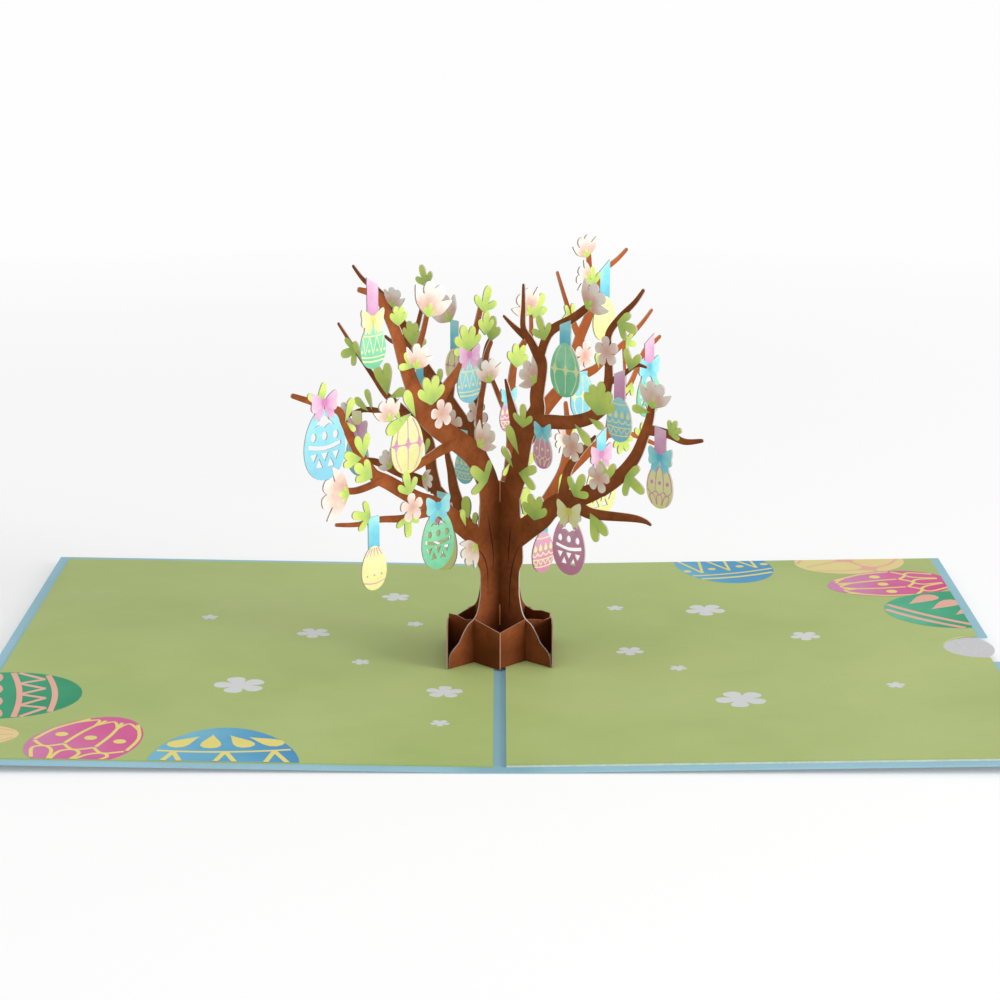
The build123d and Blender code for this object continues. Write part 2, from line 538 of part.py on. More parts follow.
def anchor(side):
    """Upright panel that closes one side of the foot, with two tongues through the liner."""
    low = ground(side * anchor_x)
    half = anchor_x + sheet
    top = [(side * half * (2 * along - 1), low + (anchor_height - low) * up) for along, up in anchor_top_shares]
    face = outline([(-side * half, low)] + top + [(side * half, low)])
    tongue_foot = rise(anchor_x) + board + seat_gap
    for y_from, y_to in tongue_spans():
        face += outline([(y_from - tree_place, tongue_foot), (y_to - tree_place, tongue_foot),
                         (y_to - tree_place, anchor_height / 2), (y_from - tree_place, anchor_height / 2)])
    upright = Plane(origin=(side * anchor_x, tree_place, 0), x_dir=(0, side, 0), z_dir=(side, 0, 0))
    return upright * extrude(face, amount=sheet)


def build():
    return {
        "cover": cover(),
        "left_liner": liner_sheet(-1),
        "right_liner": liner_sheet(1),
        "pocket_rails": pocket_rails(),
        "note_card": note_card(),
        "tree_sheet_a": tree_sheet(across, limbs_a_shares, leaves_a_shares, blossoms_a_shares,
                                   flowers_a_shares, eggs_a_shares, True),
        "tree_sheet_b": tree_sheet(back_across, limbs_b_shares, leaves_b_shares, blossoms_b_shares,
                                   flowers_b_shares, eggs_b_shares, False),
        "front_left_brace": brace(-1, -1, high_brace_shares, True),
        "front_right_brace": brace(1, -1, low_brace_shares, False),
        "back_left_brace": brace(-1, 1, low_brace_shares, False),
        "back_right_brace": brace(1, 1, high_brace_shares, True),
        "left_anchor": anchor(-1),
        "right_anchor": anchor(1),
    }


os.makedirs("parts", exist_ok=True)
for name, solid in build().items():
    export_step(solid, f"parts/{name}.step")
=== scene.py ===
"""Looks of the pop up card: printed tree sheets, printed liners, the folded cover and the floor.

Lengths are in millimetres until a point goes into a mesh. A sheet of the tree is drawn flat, u
along the sheet and z up, and each printed field is a thin closed slab about the sheet's middle
plane. A field that lies over another is thicker by a hair, as a layer of print would be.
"""

from math import atan2, cos, hypot, pi, radians, sin, sqrt, tan

import bpy
from mathutils import Matrix, Vector
from mathutils.geometry import tessellate_polygon


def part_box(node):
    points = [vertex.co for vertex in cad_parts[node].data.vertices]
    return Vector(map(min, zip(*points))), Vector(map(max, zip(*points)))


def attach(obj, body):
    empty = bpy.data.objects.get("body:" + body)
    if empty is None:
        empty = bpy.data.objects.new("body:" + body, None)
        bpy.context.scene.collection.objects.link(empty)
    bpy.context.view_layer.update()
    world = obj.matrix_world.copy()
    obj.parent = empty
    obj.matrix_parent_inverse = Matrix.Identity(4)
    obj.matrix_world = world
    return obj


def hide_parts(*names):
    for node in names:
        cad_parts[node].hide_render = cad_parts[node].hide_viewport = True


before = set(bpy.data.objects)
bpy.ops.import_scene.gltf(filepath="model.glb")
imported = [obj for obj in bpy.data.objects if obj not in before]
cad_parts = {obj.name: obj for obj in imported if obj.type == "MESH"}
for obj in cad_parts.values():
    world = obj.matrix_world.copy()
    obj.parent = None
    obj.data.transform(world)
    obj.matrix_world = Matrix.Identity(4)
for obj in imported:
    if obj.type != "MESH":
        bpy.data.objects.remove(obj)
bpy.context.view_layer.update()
mm = 0.001


def paired(*hundredths):
    """Pairs of shares from a run of hundredths."""
    return [(a / 100, b / 100) for a, b in zip(hundredths[::2], hundredths[1::2])]


# Tree sheets, as they are cut.
sheet = 0.3
sheet_reach = 68.0
sheet_height = 107.0
tree_place = -1.1
trunk_half_width = 6.9
trunk_top = 46.6
slot_half = 0.2
relief_half = 0.4
relief_length = 5.4
lower_relief_top = 14.3
seat_gap = 0.08
limb_width = 5.0
leaf_length = 6.4
blossom_length = 6.8
flower_radius = 3.7
egg_height = 15.0
egg_width = 10.9
ribbon_width = 3.7
bow_width = 8.0
bow_height = 5.0
foot_reach = 18.5
foot_height = 12.2
foot_tip_gap = 0.27
foot_slot_half = 0.2
brace_slot_height = 6.1

# Branches, in hundredths: widths at base and tip as shares of limb_width, then each place's share
# of the sheet's reach and of its height.
limbs_a = (
    (105, 24, -4, 27, -20, 35, -27, 38.5, -34, 41.5, -43, 44, -56, 49, -62, 51, -65, 53, -71, 58,
     -77, 65, -80, 68, -92, 71, -100, 73),
    (40, 30, -59, 50, -68, 49, -74, 49, -79, 50),
    (50, 18, -31, 40, -41, 40, -50, 40, -61, 41, -71, 41, -81, 42),
    (150, 95, -5, 36, -6, 43, -12, 50, -19, 54, -33, 60, -40, 64),
    (105, 26, -38, 62, -44, 70, -48, 76, -52, 83, -58, 90, -60, 92, -69, 94),
    (80, 32, -36, 62, -28, 68, -21, 72, -16, 76, -13, 80, -10, 86),
    (45, 30, -46, 72, -42, 78, -39, 82, -37, 86),
    (60, 40, -22, 55, -30, 54, -35, 53, -40, 52, -45, 51),
    (50, 28, -9, 50, -11, 59, -10, 64, -8, 73, -5, 77),
    (130, 80, 3, 40, 10, 50, 17, 54, 24, 59, 33, 63),
    (85, 55, 31, 62, 39, 70, 43, 75, 47, 79, 51, 85), (45, 32, 50, 84, 48, 88, 47, 94),
    (50, 16, 43, 74, 40, 77, 36, 82, 30, 91), (36, 20, 51, 84, 54, 89, 63, 92, 68, 94),
    (60, 18, 33, 63, 44, 65, 51, 66, 57, 68, 67, 71, 77, 75, 83, 78),
    (64, 20, 31, 40, 40, 43, 49, 46, 58, 49, 61, 55, 69, 59, 73, 62, 79, 68, 85, 70, 88, 71),
    (20, 16, 68, 57, 68, 64, 67, 71), (38, 20, 57, 49, 71, 48, 86, 44),
    (105, 24, 4, 26, 16, 31, 25, 36, 32, 41, 35, 45, 37, 51, 36, 55, 35, 59),
    (80, 20, 4, 42, 6, 52, 5, 59, 6, 67, 8, 72, 13, 76, 16, 77, 16, 83),
    (40, 24, 5, 58, 1, 62, -4, 68),
)
limbs_b = (
    (140, 75, -3, 36, -6, 42, -14, 52, -20, 56, -28, 61),
    (85, 18, -26, 59, -38, 66, -48, 72, -51, 76, -57, 80, -66, 84, -74, 86, -80, 89),
    (28, 18, -49, 73, -57, 72, -62, 73), (36, 22, -48, 71, -46, 74, -43, 79, -41, 83, -39, 88),
    (30, 24, -26, 60, -24, 68), (85, 28, -16, 53, -12, 61, -9, 67, -7, 74, -5, 77),
    (90, 18, -34, 37, -37, 43, -38, 49, -44, 52, -51, 55, -57, 57, -63, 59, -70, 63, -79, 68, -89,
     74),
    (44, 18, -50, 55, -62, 54, -71, 54, -78, 53, -85, 51),
    (115, 30, -4, 26, -11, 28.5, -21, 32, -28, 35, -35, 38, -43, 39, -57, 40, -67, 41, -73, 41),
    (95, 18, -18, 31, -24, 38, -26, 43, -28, 47, -28, 50),
    (130, 75, 2, 35, 9, 46, 13, 56, 19, 62, 19, 66, 21, 73, 20, 75),
    (62, 16, 20, 74.5, 16, 78, 12, 81, 12, 86, 12, 91), (42, 14, 13, 79, 7, 81, 2, 83),
    (56, 40, 20, 74, 23, 79, 27, 82, 36, 85, 43, 88), (85, 16, 10, 53, 7, 60, 5, 64, 3, 68),
    (76, 62, 13, 58, 23, 60, 35, 61, 45, 63, 52, 66),
    (62, 18, 51, 65, 54, 72, 54, 79, 54, 83, 59, 87, 66, 91, 70, 94),
    (36, 12, 54, 72, 60, 74, 67, 77, 72, 77),
    (130, 80, 0, 27, 15, 34, 22, 37, 29, 41, 44, 45, 53, 48),
    (80, 42, 51, 47, 60, 51, 67, 56, 71, 61, 74, 66, 75, 71),
    (56, 18, 72, 63, 82, 63, 90, 62, 98, 63), (80, 16, 32, 41, 33, 45, 35, 50, 40, 54, 48, 59),
    (76, 14, 34, 43, 44, 41, 51, 41, 66, 42, 72, 42, 75, 41.5),
)

# Leaves: place in hundredths of the sheet, heading in degrees from u towards z, length in
# hundredths, and number and spread of the lobes if there are more than one.
leaves_a = (
    (-9, 84.5, 71, 105, 3, 48), (-8, 79, 84, 95, 3, 32), (-16, 76, 110, 110, 5, 33),
    (-51, 84.5, 87, 85, 4, 27), (-44, 74.5, 148, 75, 2, 45), (-35, 65, 92, 125, 4, 30),
    (-43, 63, 115, 120), (-45, 64, 205, 140), (-50, 62.5, 120, 90), (-76.5, 65, 65, 95),
    (-76, 65, 318, 60), (-87, 70, 115, 80, 2, 66), (-68, 56, 95, 95, 2, 36),
    (-69, 56, 176, 90, 2, 26), (-64, 51, 145, 110, 3, 30), (-46, 45, 103, 100, 3, 40),
    (-65, 42, 165, 95, 3, 50), (-47, 40.5, 272, 90, 3, 56), (-7, 44, 141, 115, 3, 60),
    (-18, 34.5, 108, 75), (17, 81, 57, 110, 3, 34), (50, 86.5, 102, 80, 3, 48),
    (37, 80.5, 166, 50, 2, 74), (38, 79.5, 85, 60), (68, 71.5, 340, 70, 3, 50),
    (8, 70, 75, 105, 4, 30), (53, 66, 100, 65), (72, 61, 250, 60, 2, 50), (5, 47.5, 119, 80),
    (5, 47.5, 232, 60), (8, 45, 25, 120), (14, 31, 92, 160), (31, 37.5, 69, 75),
    (67, 48.5, 277, 95, 4, 34), (79, 46, 115, 70, 2, 40), (37, 49, 60, 60),
)
leaves_b = (
    (-39, 87, 111, 90, 3, 44), (-47, 72, 88, 110, 4, 26), (-46, 72, 25, 75),
    (-79, 68.5, 203, 100, 3, 50), (-76, 66, 121, 85), (-61, 58.5, 107, 135, 2, 32),
    (-60, 58, 26, 105), (-70, 54, 114, 90), (-72, 53.5, 154, 95), (-33, 63, 79, 80),
    (-5, 76.5, 80, 105, 3, 30), (-40, 46, 72, 70), (-10, 51, 35, 90, 3, 34), (-18, 29.5, 89, 140),
    (-14, 30, 80, 75), (-9, 68, 335, 50), (23, 79, 113, 100, 3, 42), (58, 86, 348, 100, 3, 42),
    (64, 75.5, 77, 85, 2, 50), (49, 64, 80, 135, 5, 25), (12, 57.5, 90, 95, 3, 44),
    (10, 51, 121, 125), (45, 63, 338, 80), (38, 61, 320, 110), (10, 46.5, 355, 100, 2, 48),
    (7, 47.5, 127, 90), (18, 36, 87, 115, 4, 32), (38, 44, 62, 105, 3, 48), (54, 49, 90, 85, 2, 52),
    (63, 51.5, 330, 105, 3, 62), (46, 41, 304, 115, 2, 34), (83, 63, 40, 70, 4, 34),
    (74, 67, 176, 90),
)

# Blossoms seen from the side: place, heading and length in the same units.
blossoms_a = (
    (-37, 85.5, 67, 125), (-43, 74, 69, 90), (-55, 63, 106, 85), (-75, 48.5, 172, 125),
    (-12, 29.5, 215, 85), (-6, 67.5, 92, 90), (-12, 53, 37, 95), (46, 93.5, 102, 85),
    (16, 82, 116, 100), (48, 88.5, 164, 75), (36, 50.5, 185, 65), (11, 30, 72, 65),
)
blossoms_b = (
    (-58, 80.5, 78, 75), (-26, 79.5, 127, 100), (-59, 40.5, 142, 75), (-42, 40, 350, 60),
    (-9, 69, 120, 50), (-84, 51, 140, 60), (43, 88, 47, 100), (19, 69, 150, 90), (75, 68, 80, 95),
)
# Open five-petal blossoms: place and turn.
flowers_a = (
    (-30, 62.5, 100), (-45, 42, 95), (45, 70, 80),
)
flowers_b = (
    (53, 79, 95), (50, 49.5, 80), (-25, 55, 90), (-12, 58.5, 60), (37, 55.5, 75),
)

# Hanging eggs: place and size in hundredths, ornament, colours of egg and ornament, top of the
# ribbon and how far it rises to its right in shares of half its width, colours of ribbon and bow.
eggs_a = (
    (-86, 61, 117, "pierced", "sky", "", 0, 0, "", "pink"),
    (-63, 81, 74, "zigzag", "mint", "cream", 95.5, -60, "pink", "lemon"),
    (-47, 57, 97, "stars", "lemon", "pink", 0, 0, "", ""),
    (-16, 69, 74, "zigzag", "sky", "cream", 0, 0, "", "pink"),
    (-32, 33, 100, "pierced", "mint", "", 0, 0, "", "sky"),
    (-63.5, 30, 74, "rays", "lemon", "pink", 42, 0, "sky", ""),
    (56, 78, 78, "rays", "lemon", "cream", 91, 70, "sky", ""),
    (44, 60, 78, "stars", "sky", "cream", 66, 0, "sky", ""),
    (82, 57, 84, "pierced", "mint", "", 71, 65, "pink", "sky"),
    (4.5, 59, 58, "petals", "pink", "cream", 0, 0, "", "sky"),
    (23, 23.5, 72, "petals", "pink", "lemon", 34.5, 0, "sky", ""),
    (55, 36, 105, "pierced", "lemon", "", 50, 65, "sky", "pink"),
)
eggs_b = (
    (-79, 42, 80, "zigzag", "sky", "cream", 53, 10, "lemon", "pink"),
    (-43, 59, 62, "petals", "pink", "lemon", 70, 0, "sky", ""),
    (-24, 69, 60, "stars", "lemon", "pink", 80, 0, "sky", ""),
    (-19, 45, 60, "petals", "sky", "cream", 54, 0, "sky", ""),
    (-31, 25, 100, "pierced", "lemon", "", 37.5, 0, "sky", "pink"),
    (33, 73, 90, "stars", "mint", "cream", 84, 42, "sky", ""),
    (59.5, 64, 73, "petals", "sky", "cream", 75, 42, "pink", ""),
    (22, 53, 60, "lace", "pink", "cream", 0, 0, "", "sky"),
    (79, 51, 76, "lace", "lemon", "pink", 64, -20, "pink", "sky"),
    (35.5, 32, 100, "pierced", "pink", "", 0, 0, "", "lemon"),
)

# Form of a lobe: greatest half width as a share of its length, its outline along its length and
# across its half width, and the notch between two lobes along their length.
leaf_form = (0.19, paired(74, 100, 97, 50), 0.50)
petal_form = (0.24, paired(80, 100, 100, 55), 0.80)
flower_form = (0.36, paired(70, 100, 97, 55), 0.40)
outer_petal_shares = paired(66, 74, 102, 16)
# Outer side of a fan's first and last lobe, along it and across it.
shoulder_share = (0.38, 0.62)
# Lobes fill this much of the room between them, and the outermost of a fan are shorter by the loss.
room_share = 0.84
outer_loss_share = 0.24
# Slope that never cuts the free outer side of a fan's first or last lobe.
free_slope = 9
side_petals = 4
petal_spread = 31
flower_petals = 5
calyx_lobes = 3
calyx_spread = 40
calyx_share = 0.42

# Egg and the cuts of a pierced one, as shares of its width and height.
egg_points = 40
egg_taper_share = 0.14
arch_shares = paired(-24, 24, 0, 40, 24, 24, 12, 27, 0, 22, -12, 27)
bar_shares = paired(-40, 2, 0, -3, 40, 2, 40, -4, 0, -9, -40, -4)
dot_place_shares = paired(-27, 11, 0, 11, 27, 11)
dot_radius_share = 0.055
dot_stretch = (0.9, 1.1)
dot_points = 16
teeth_shares = ((paired(-9, 0, 0, -12, 9, 0), paired(-27, -12, 0, -12, 27, -12)),
                (paired(-9, 0, 0, 13, 9, 0), paired(-14, -32, 14, -32)))

# Ribbons and bows. On a small egg they shrink with it, and the growth shares say from what size.
ribbon_growth_share = 1.3
bow_growth_share = 1.2
ribbon_foot_share = 0.40
ribbon_steps = 4
bow_raise_share = 0.24
wing_shares = paired(6, 12, 22, 34, 46, 52, 52, 30, 48, 0, 50, -26, 40, -44, 20, -30, 6, -14)
tail_shares = paired(0, 0, 16, -6, 34, -36, 38, -80, 27, -70, 20, -88, 12, -62, 4, -50)
knot_shares = paired(9, 16, 11, 0, 9, -17, -9, -17, -11, 0, -9, 16)
# Parts to each side of the knot, and how far out their wash runs as a share of the bow's width.
bow_parts = ((tail_shares, 0.9), (wing_shares, 0.5))

# Edge of the trunk and of the foot, from the top down, and the turns of a branch's rounded tip.
trunk_edge_shares = paired(106, 100, 104, 86.5, 120, 60.7, 102, 52.1, 100, 43.6)
foot_edge_shares = paired(38, 145, 43, 115, 50, 100, 61, 91, 71, 74, 79, 57, 92, 43, 97.5, 29)
tip_turns = (0.35, 0.7)

# Bark strokes on the trunk, left then right of its fold: u and z.
strokes_a = (((-4.7, 39.5), (-3.7, 34.3), (-2.6, 28.7), (-2.6, 22.5)),
             ((-9.2, 30.8), (-6.5, 28.7), (-4.7, 24.5), (-4.4, 16.0)),
             ((4.4, 38.0), (3.6, 31.0), (3.0, 22.0)), ((8.2, 31.0), (5.4, 26.0), (4.2, 14.0)))
strokes_b = (((4.2, 36.0), (3.5, 31.0), (2.9, 23.5)),
             ((7.5, 32.3), (5.0, 26.5), (3.7, 19.3), (3.8, 9.5)),
             ((-4.4, 38.0), (-3.4, 31.0), (-3.0, 22.0)), ((-8.2, 30.0), (-5.6, 25.0), (-4.2, 15.0)))
stroke_width = 0.46
thinnest_share = 0.12

# Steps of a smooth run between two of its points.
limb_steps = 6
edge_steps = 4
line_steps = 4
small_steps = 3

# Pen of the egg ornaments: how near it comes to the egg's edge, points of a dot, bulge of a drop.
drawn_share = 0.97
pen_dot_points = 14
drop_bulge = 0.77

# Layers of print about the middle plane: half thickness of the lowest element, the step between
# elements of a layer, and the step between the strokes of one ornament.
layers = {"egg_under": 0.150, "bark": 0.156, "stroke": 0.170, "ribbon": 0.173, "egg": 0.178,
          "ornament": 0.186, "leaf": 0.200, "bow": 0.222, "blossom": 0.230, "calyx": 0.242}
layer_step = 0.0005
pen_step = 0.0003

# Liners, as the CAD solids lie.
liner_low, liner_high = (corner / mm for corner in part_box("left_liner"))
right_low, right_high = (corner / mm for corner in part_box("right_liner"))
liner_thick = 0.3
card_slope = (liner_high.z - liner_low.z - liner_thick) / (liner_high.x - liner_low.x)
left_foot, right_foot = (low.z + liner_thick + seat_gap for low in (liner_low, right_low))

# Print on the liners: underside and top of the lowest field, and steps to an egg and its ornament.
print_low, print_high = -0.02, 0.012
print_egg_step, print_ornament_step = 0.012, 0.002
# Printed blossoms: plan place, radius and turn.
left_flowers = ((-77.5, 28.9, 2.2, 20), (-48.8, 15.7, 4.4, 50), (-63.8, -29.8, 6.4, 180),
                (-28.6, 51.5, 3.9, 30), (-22.6, 25.6, 2.2, 70), (-35.2, -9.1, 2.3, 40),
                (-13.6, -32.6, 4.6, 15), (-14.1, -56.4, 2.3, 55))
right_flowers = ((31.3, 39.2, 2.3, 15), (55.5, 36.1, 5.4, 270), (33.4, -0.7, 3.6, 270),
                 (44.8, -15.8, 2.2, 60), (79.6, 10.5, 3.9, 270), (58.3, -41.4, 6.2, 45),
                 (97.0, -32.1, 2.3, 10))
# Printed eggs: plan middle, width, length, turn of the long axis from Y, colour, ornament and its
# colour.
left_eggs = ((-124.5, -41.5, 36.0, 47.0, 100, "deep_green", "petals", "blush"),
             (-121.5, -71.0, 16.0, 21.0, -80, "peach", "stars", "blush"),
             (-94.8, -73.0, 25.0, 35.0, -18, "magenta", "lace", "straw"),
             (-62.4, -84.5, 34.0, 44.0, 4, "deep_blue", "drops", "straw"))
right_eggs = ((63.4, 83.0, 26.0, 42.0, 17, "deep_blue", "zigzag", "straw"),
              (100.0, 85.0, 30.0, 32.0, 120, "peach", "stars", "blush"),
              (108.5, 59.5, 26.0, 35.0, 100, "magenta", "lace", "straw"),
              (122.2, 34.0, 34.0, 37.0, 315, "deep_green", "tulips", "blush"))

# Paints: screen colours of the blots, and of the wash from an element's root outwards. Its stops
# are evenly spaced, apart from those named.
tree_paints = {
    "leaf": ((164, 190, 94), (152, 180, 100), (180, 204, 104), (200, 218, 110), (208, 222, 122)),
    "calyx": ((150, 184, 76), (160, 198, 84), (184, 214, 98), (212, 224, 140)),
    "petal": ((218, 186, 172), (208, 158, 140), (218, 184, 168), (234, 220, 210), (238, 232, 226)),
    "flower": ((214, 172, 158), (212, 156, 138), (220, 182, 168), (232, 212, 202), (238, 222, 214)),
    # Painted light: the bright bar of bark seen through the other sheet's relief.
    "bark_light": ((186, 104, 58), (206, 120, 68), (222, 134, 80)),
    "bark_line": ((52, 22, 10), (72, 32, 14), (62, 26, 12)),
    "sky": ((118, 184, 210), (134, 196, 218), (144, 208, 222), (160, 218, 224)),
    "mint": ((104, 184, 142), (116, 196, 152), (134, 210, 170), (156, 220, 186)),
    "lemon": ((218, 210, 132), (224, 222, 146), (228, 226, 166), (232, 228, 182)),
    "pink": ((198, 120, 162), (206, 134, 172), (212, 148, 184), (220, 168, 198)),
    "cream": ((216, 214, 150), (226, 226, 168), (230, 232, 184)),
}
liner_paints = {
    "chalk": ((194, 198, 196), (204, 207, 206), (210, 213, 212)),
    "deep_green": ((24, 128, 86), (92, 184, 150), (52, 158, 116), (28, 134, 92)),
    "magenta": ((196, 84, 142), (200, 134, 172), (204, 104, 152), (204, 62, 130)),
    "deep_blue": ((70, 142, 186), (120, 184, 204), (84, 156, 192), (58, 132, 180)),
    "peach": ((222, 180, 140), (216, 206, 136), (222, 202, 138)),
    "straw": ((212, 196, 104), (222, 214, 124), (226, 206, 112)),
    "blush": ((214, 140, 118), (222, 176, 158), (224, 160, 140)),
}
paint_stops = {"leaf": (0.0, 0.4, 0.75, 1.0), "calyx": (0.0, 0.6, 1.0),
               "petal": (0.15, 0.45, 0.75, 1.0), "flower": (0.0, 0.3, 0.75, 1.0),
               "deep_green": (0.0, 0.4, 1.0), "magenta": (0.0, 0.45, 1.0)}
tied_paints = {"sky": ((98, 182, 208), (126, 208, 224), (166, 224, 230)),
               "pink": ((202, 128, 176), (216, 166, 200), (226, 192, 214)),
               "lemon": ((214, 208, 112), (226, 222, 158), (232, 230, 192))}
# Middle stop and amount of blots of a bow's and a ribbon's paint.
tied_kinds = {"bow": (0.4, 0.25), "ribbon": (0.6, 0.2)}
# Blots to the metre on the tree and on the liners, how dark they get, and how far a wash wanders.
tree_blot_scale = 420.0
liner_blot_scale = 90.0
blot_amount = 0.35
wander_share = 0.35
# Noise between these values grows into a full blot, and between these it drifts the wash.
blot_from, blot_full = 0.48, 0.72
drift_from, drift_full = 0.3, 0.7
drift_scale_share = 0.6
paper_roughness = 0.62
paper_gloss = 0.25
bark_gloss = 0.06
# Tooth of the paper: to the metre, depth in metres and strength.
tooth_scale, tooth_depth, tooth_strength = 2600.0, 0.00002, 0.35

# Lamps: name, place and size in metres, and power in watts.
lamps = (("key", (2.12, -1.12, 0.70), 1.3, 49.0), ("top", (-0.1, -0.5, 1.5), 1.0, 4.0))
lamp_aim = Vector((0.0, 0.0, 0.04))
white = (1.0, 1.0, 1.0, 1.0)
room_strength = 0.64
floor_reach = 6.0
floor_drop = 0.00005
floor_grey = (0.80, 0.80, 0.80, 1.0)
floor_glow = 0.19
far_grey = (0.99, 0.99, 0.99, 1.0)
# The floor turns into the plain backdrop between these distances in metres.
near_reach, far_reach = 0.20, 0.75

# The photograph's camera: place in metres, pitch, yaw and roll in degrees, and focal length.
camera_place = (-0.00035, -0.64684, 0.19947)
camera_angles = (13.737, 0.032, 0.089)
camera_lens = 94.67

slope = Vector((1, 1, 0)).normalized()
back_slope = Vector((1, -1, 0)).normalized()
up = Vector((0, 0, 1))


def stretched(shares, width, height):
    """Shares turned into points of a piece."""
    return [(u * width, z * height) for u, z in shares]


def moved(points, place, turn=0.0):
    """Points turned by an angle and moved to a place."""
    c, s = cos(turn), sin(turn)
    return [(place[0] + a * c - b * s, place[1] + a * s + b * c) for a, b in points]


def centre_of(ring):
    return (sum(p[0] for p in ring) / len(ring), sum(p[1] for p in ring) / len(ring))


def turning(ring):
    """Twice the area inside a ring, above zero where it turns to the left."""
    return sum(ring[k - 1][0] * p[1] - p[0] * ring[k - 1][1] for k, p in enumerate(ring))


def curve_through(points, steps, closed=False, corners=()):
    """Smooth run through points. It keeps the corners named by their number sharp."""
    count = len(points)
    spans = count if closed else count - 1

    def tangent(k):
        if k in corners:
            return (0.0, 0.0)
        before = points[(k - 1) % count] if closed else points[max(k - 1, 0)]
        after = points[(k + 1) % count] if closed else points[min(k + 1, count - 1)]
        return ((after[0] - before[0]) / 2, (after[1] - before[1]) / 2)

    run = []
    for k in range(spans):
        here, there = points[k], points[(k + 1) % count]
        t_here, t_there = tangent(k), tangent((k + 1) % count)
        for step in range(steps):
            t = step / steps
            h0 = 2 * t ** 3 - 3 * t ** 2 + 1
            h1 = t ** 3 - 2 * t ** 2 + t
            h2 = 3 * t ** 2 - 2 * t ** 3
            h3 = t ** 3 - t ** 2
            run.append(tuple(h0 * here[i] + h1 * t_here[i] + h2 * there[i] + h3 * t_there[i]
                             for i in (0, 1)))
    if not closed:
        run.append(points[-1])
    return run


def edges_of(run, half_at):
    """Left and right edge of a run and its last heading. Half_at gives the half width at a step."""
    last = len(run) - 1
    left, right = [], []
    for step, (a, b) in enumerate(run):
        before, after = run[max(step - 1, 0)], run[min(step + 1, last)]
        heading = atan2(after[1] - before[1], after[0] - before[0])
        half = half_at(step, last)
        left.append((a - half * sin(heading), b + half * cos(heading)))
        right.append((a + half * sin(heading), b - half * cos(heading)))
    return left, right, heading


def clipped(ring, low, high):
    """Convex ring cut to a rectangle."""
    for axis, limit, keep in ((0, low[0], 1), (0, high[0], -1), (1, low[1], 1), (1, high[1], -1)):
        cut = []
        for k, point in enumerate(ring):
            before = ring[k - 1]
            inside = keep * (point[axis] - limit) >= 0
            if inside != (keep * (before[axis] - limit) >= 0):
                t = (limit - before[axis]) / (point[axis] - before[axis])
                cut.append(tuple(before[i] + (point[i] - before[i]) * t for i in (0, 1)))
            if inside:
                cut.append(point)
        ring = cut
    return ring


def placed(name, data):
    """New object in the scene."""
    piece = bpy.data.objects.new(name, data)
    bpy.context.scene.collection.objects.link(piece)
    return piece


def even_tone(a, b):
    """Even shading: every point halfway between an element's root, at 0, and its end, at 1."""
    return 0.5


class Drawing:
    """One mesh of printed fields, each a thin closed slab with its shading on its points."""

    def __init__(self, name, place):
        self.name, self.place = name, place
        self.points, self.faces, self.face_slots = [], [], []
        self.slots = ["core"]
        self.along, self.across = [], []

    def slab(self, flat, caps, loops, levels, colour, tones):
        """Closed slab between two levels. Caps and loops number the flat points."""
        if colour not in self.slots:
            self.slots.append(colour)
        slot = self.slots.index(colour)
        start, size = len(self.points), len(flat)
        for height in levels:
            self.points += [self.place(a, b, height) * mm for a, b in flat]
            self.along += [along for along, across in tones]
            self.across += [across for along, across in tones]
        for cap in caps:
            self.faces.append([start + size + k for k in cap])
            self.faces.append([start + k for k in reversed(cap)])
            self.face_slots += [slot, slot]
        for loop in loops:
            for k, here in enumerate(loop):
                there = loop[(k + 1) % len(loop)]
                side = (here, there, size + there, size + here)
                self.faces.append([start + corner for corner in side])
                self.face_slots.append(0)

    def fan(self, ring, hub, levels, colour, tone=even_tone):
        """Slab of a ring that is seen whole from its hub, or from its first point without one."""
        if turning(ring) < 0:
            ring = ring[:1] + ring[:0:-1]
        flat = list(ring) + ([] if hub is None else [hub])
        last = len(ring)
        caps = [(0, k, k + 1) for k in range(1, last - 1)]
        if hub is not None:
            caps = [(k, (k + 1) % last, last) for k in range(last)]
        self.slab(flat, caps, [range(last)], levels, colour, [(tone(*p), 0.5) for p in flat])

    def strip(self, left, right, levels, colour):
        """Slab between two edges with as many points, as a branch or a stroke has."""
        count = len(left)
        caps = [(k, count + k, count + k + 1, k + 1) for k in range(count - 1)]
        loop = list(range(count, 2 * count)) + list(range(count - 1, -1, -1))
        tones = [(k / (count - 1), across) for across in (0.0, 1.0) for k in range(count)]
        self.slab(left + right, caps, [loop], levels, colour, tones)

    def pierced(self, outer, holes, levels, colour, tone=even_tone):
        """Slab with holes."""
        rings = [outer if turning(outer) > 0 else outer[::-1]]
        rings += [hole if turning(hole) < 0 else hole[::-1] for hole in holes]
        flat = [p for ring in rings for p in ring]
        caps = []
        for tri in tessellate_polygon([[Vector((a, b, 0)) for a, b in ring] for ring in rings]):
            tri = list(tri)
            caps.append(tri if turning([flat[k] for k in tri]) > 0 else tri[::-1])
        loops, start = [], 0
        for ring in rings:
            loops.append(range(start, start + len(ring)))
            start += len(ring)
        self.slab(flat, caps, loops, levels, colour, [(tone(*p), 0.5) for p in flat])

    def finished(self, materials):
        """The drawing's object, riding on the card."""
        mesh = bpy.data.meshes.new(self.name)
        mesh.from_pydata(self.points, [], self.faces)
        for name, values in (("along", self.along), ("across", self.across)):
            mesh.attributes.new(name, "FLOAT", "POINT").data.foreach_set("value", values)
        for slot in self.slots:
            mesh.materials.append(materials[slot])
        mesh.polygons.foreach_set("material_index", self.face_slots)
        mesh.update()
        piece = placed(self.name, mesh)
        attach(piece, "card")
        return piece


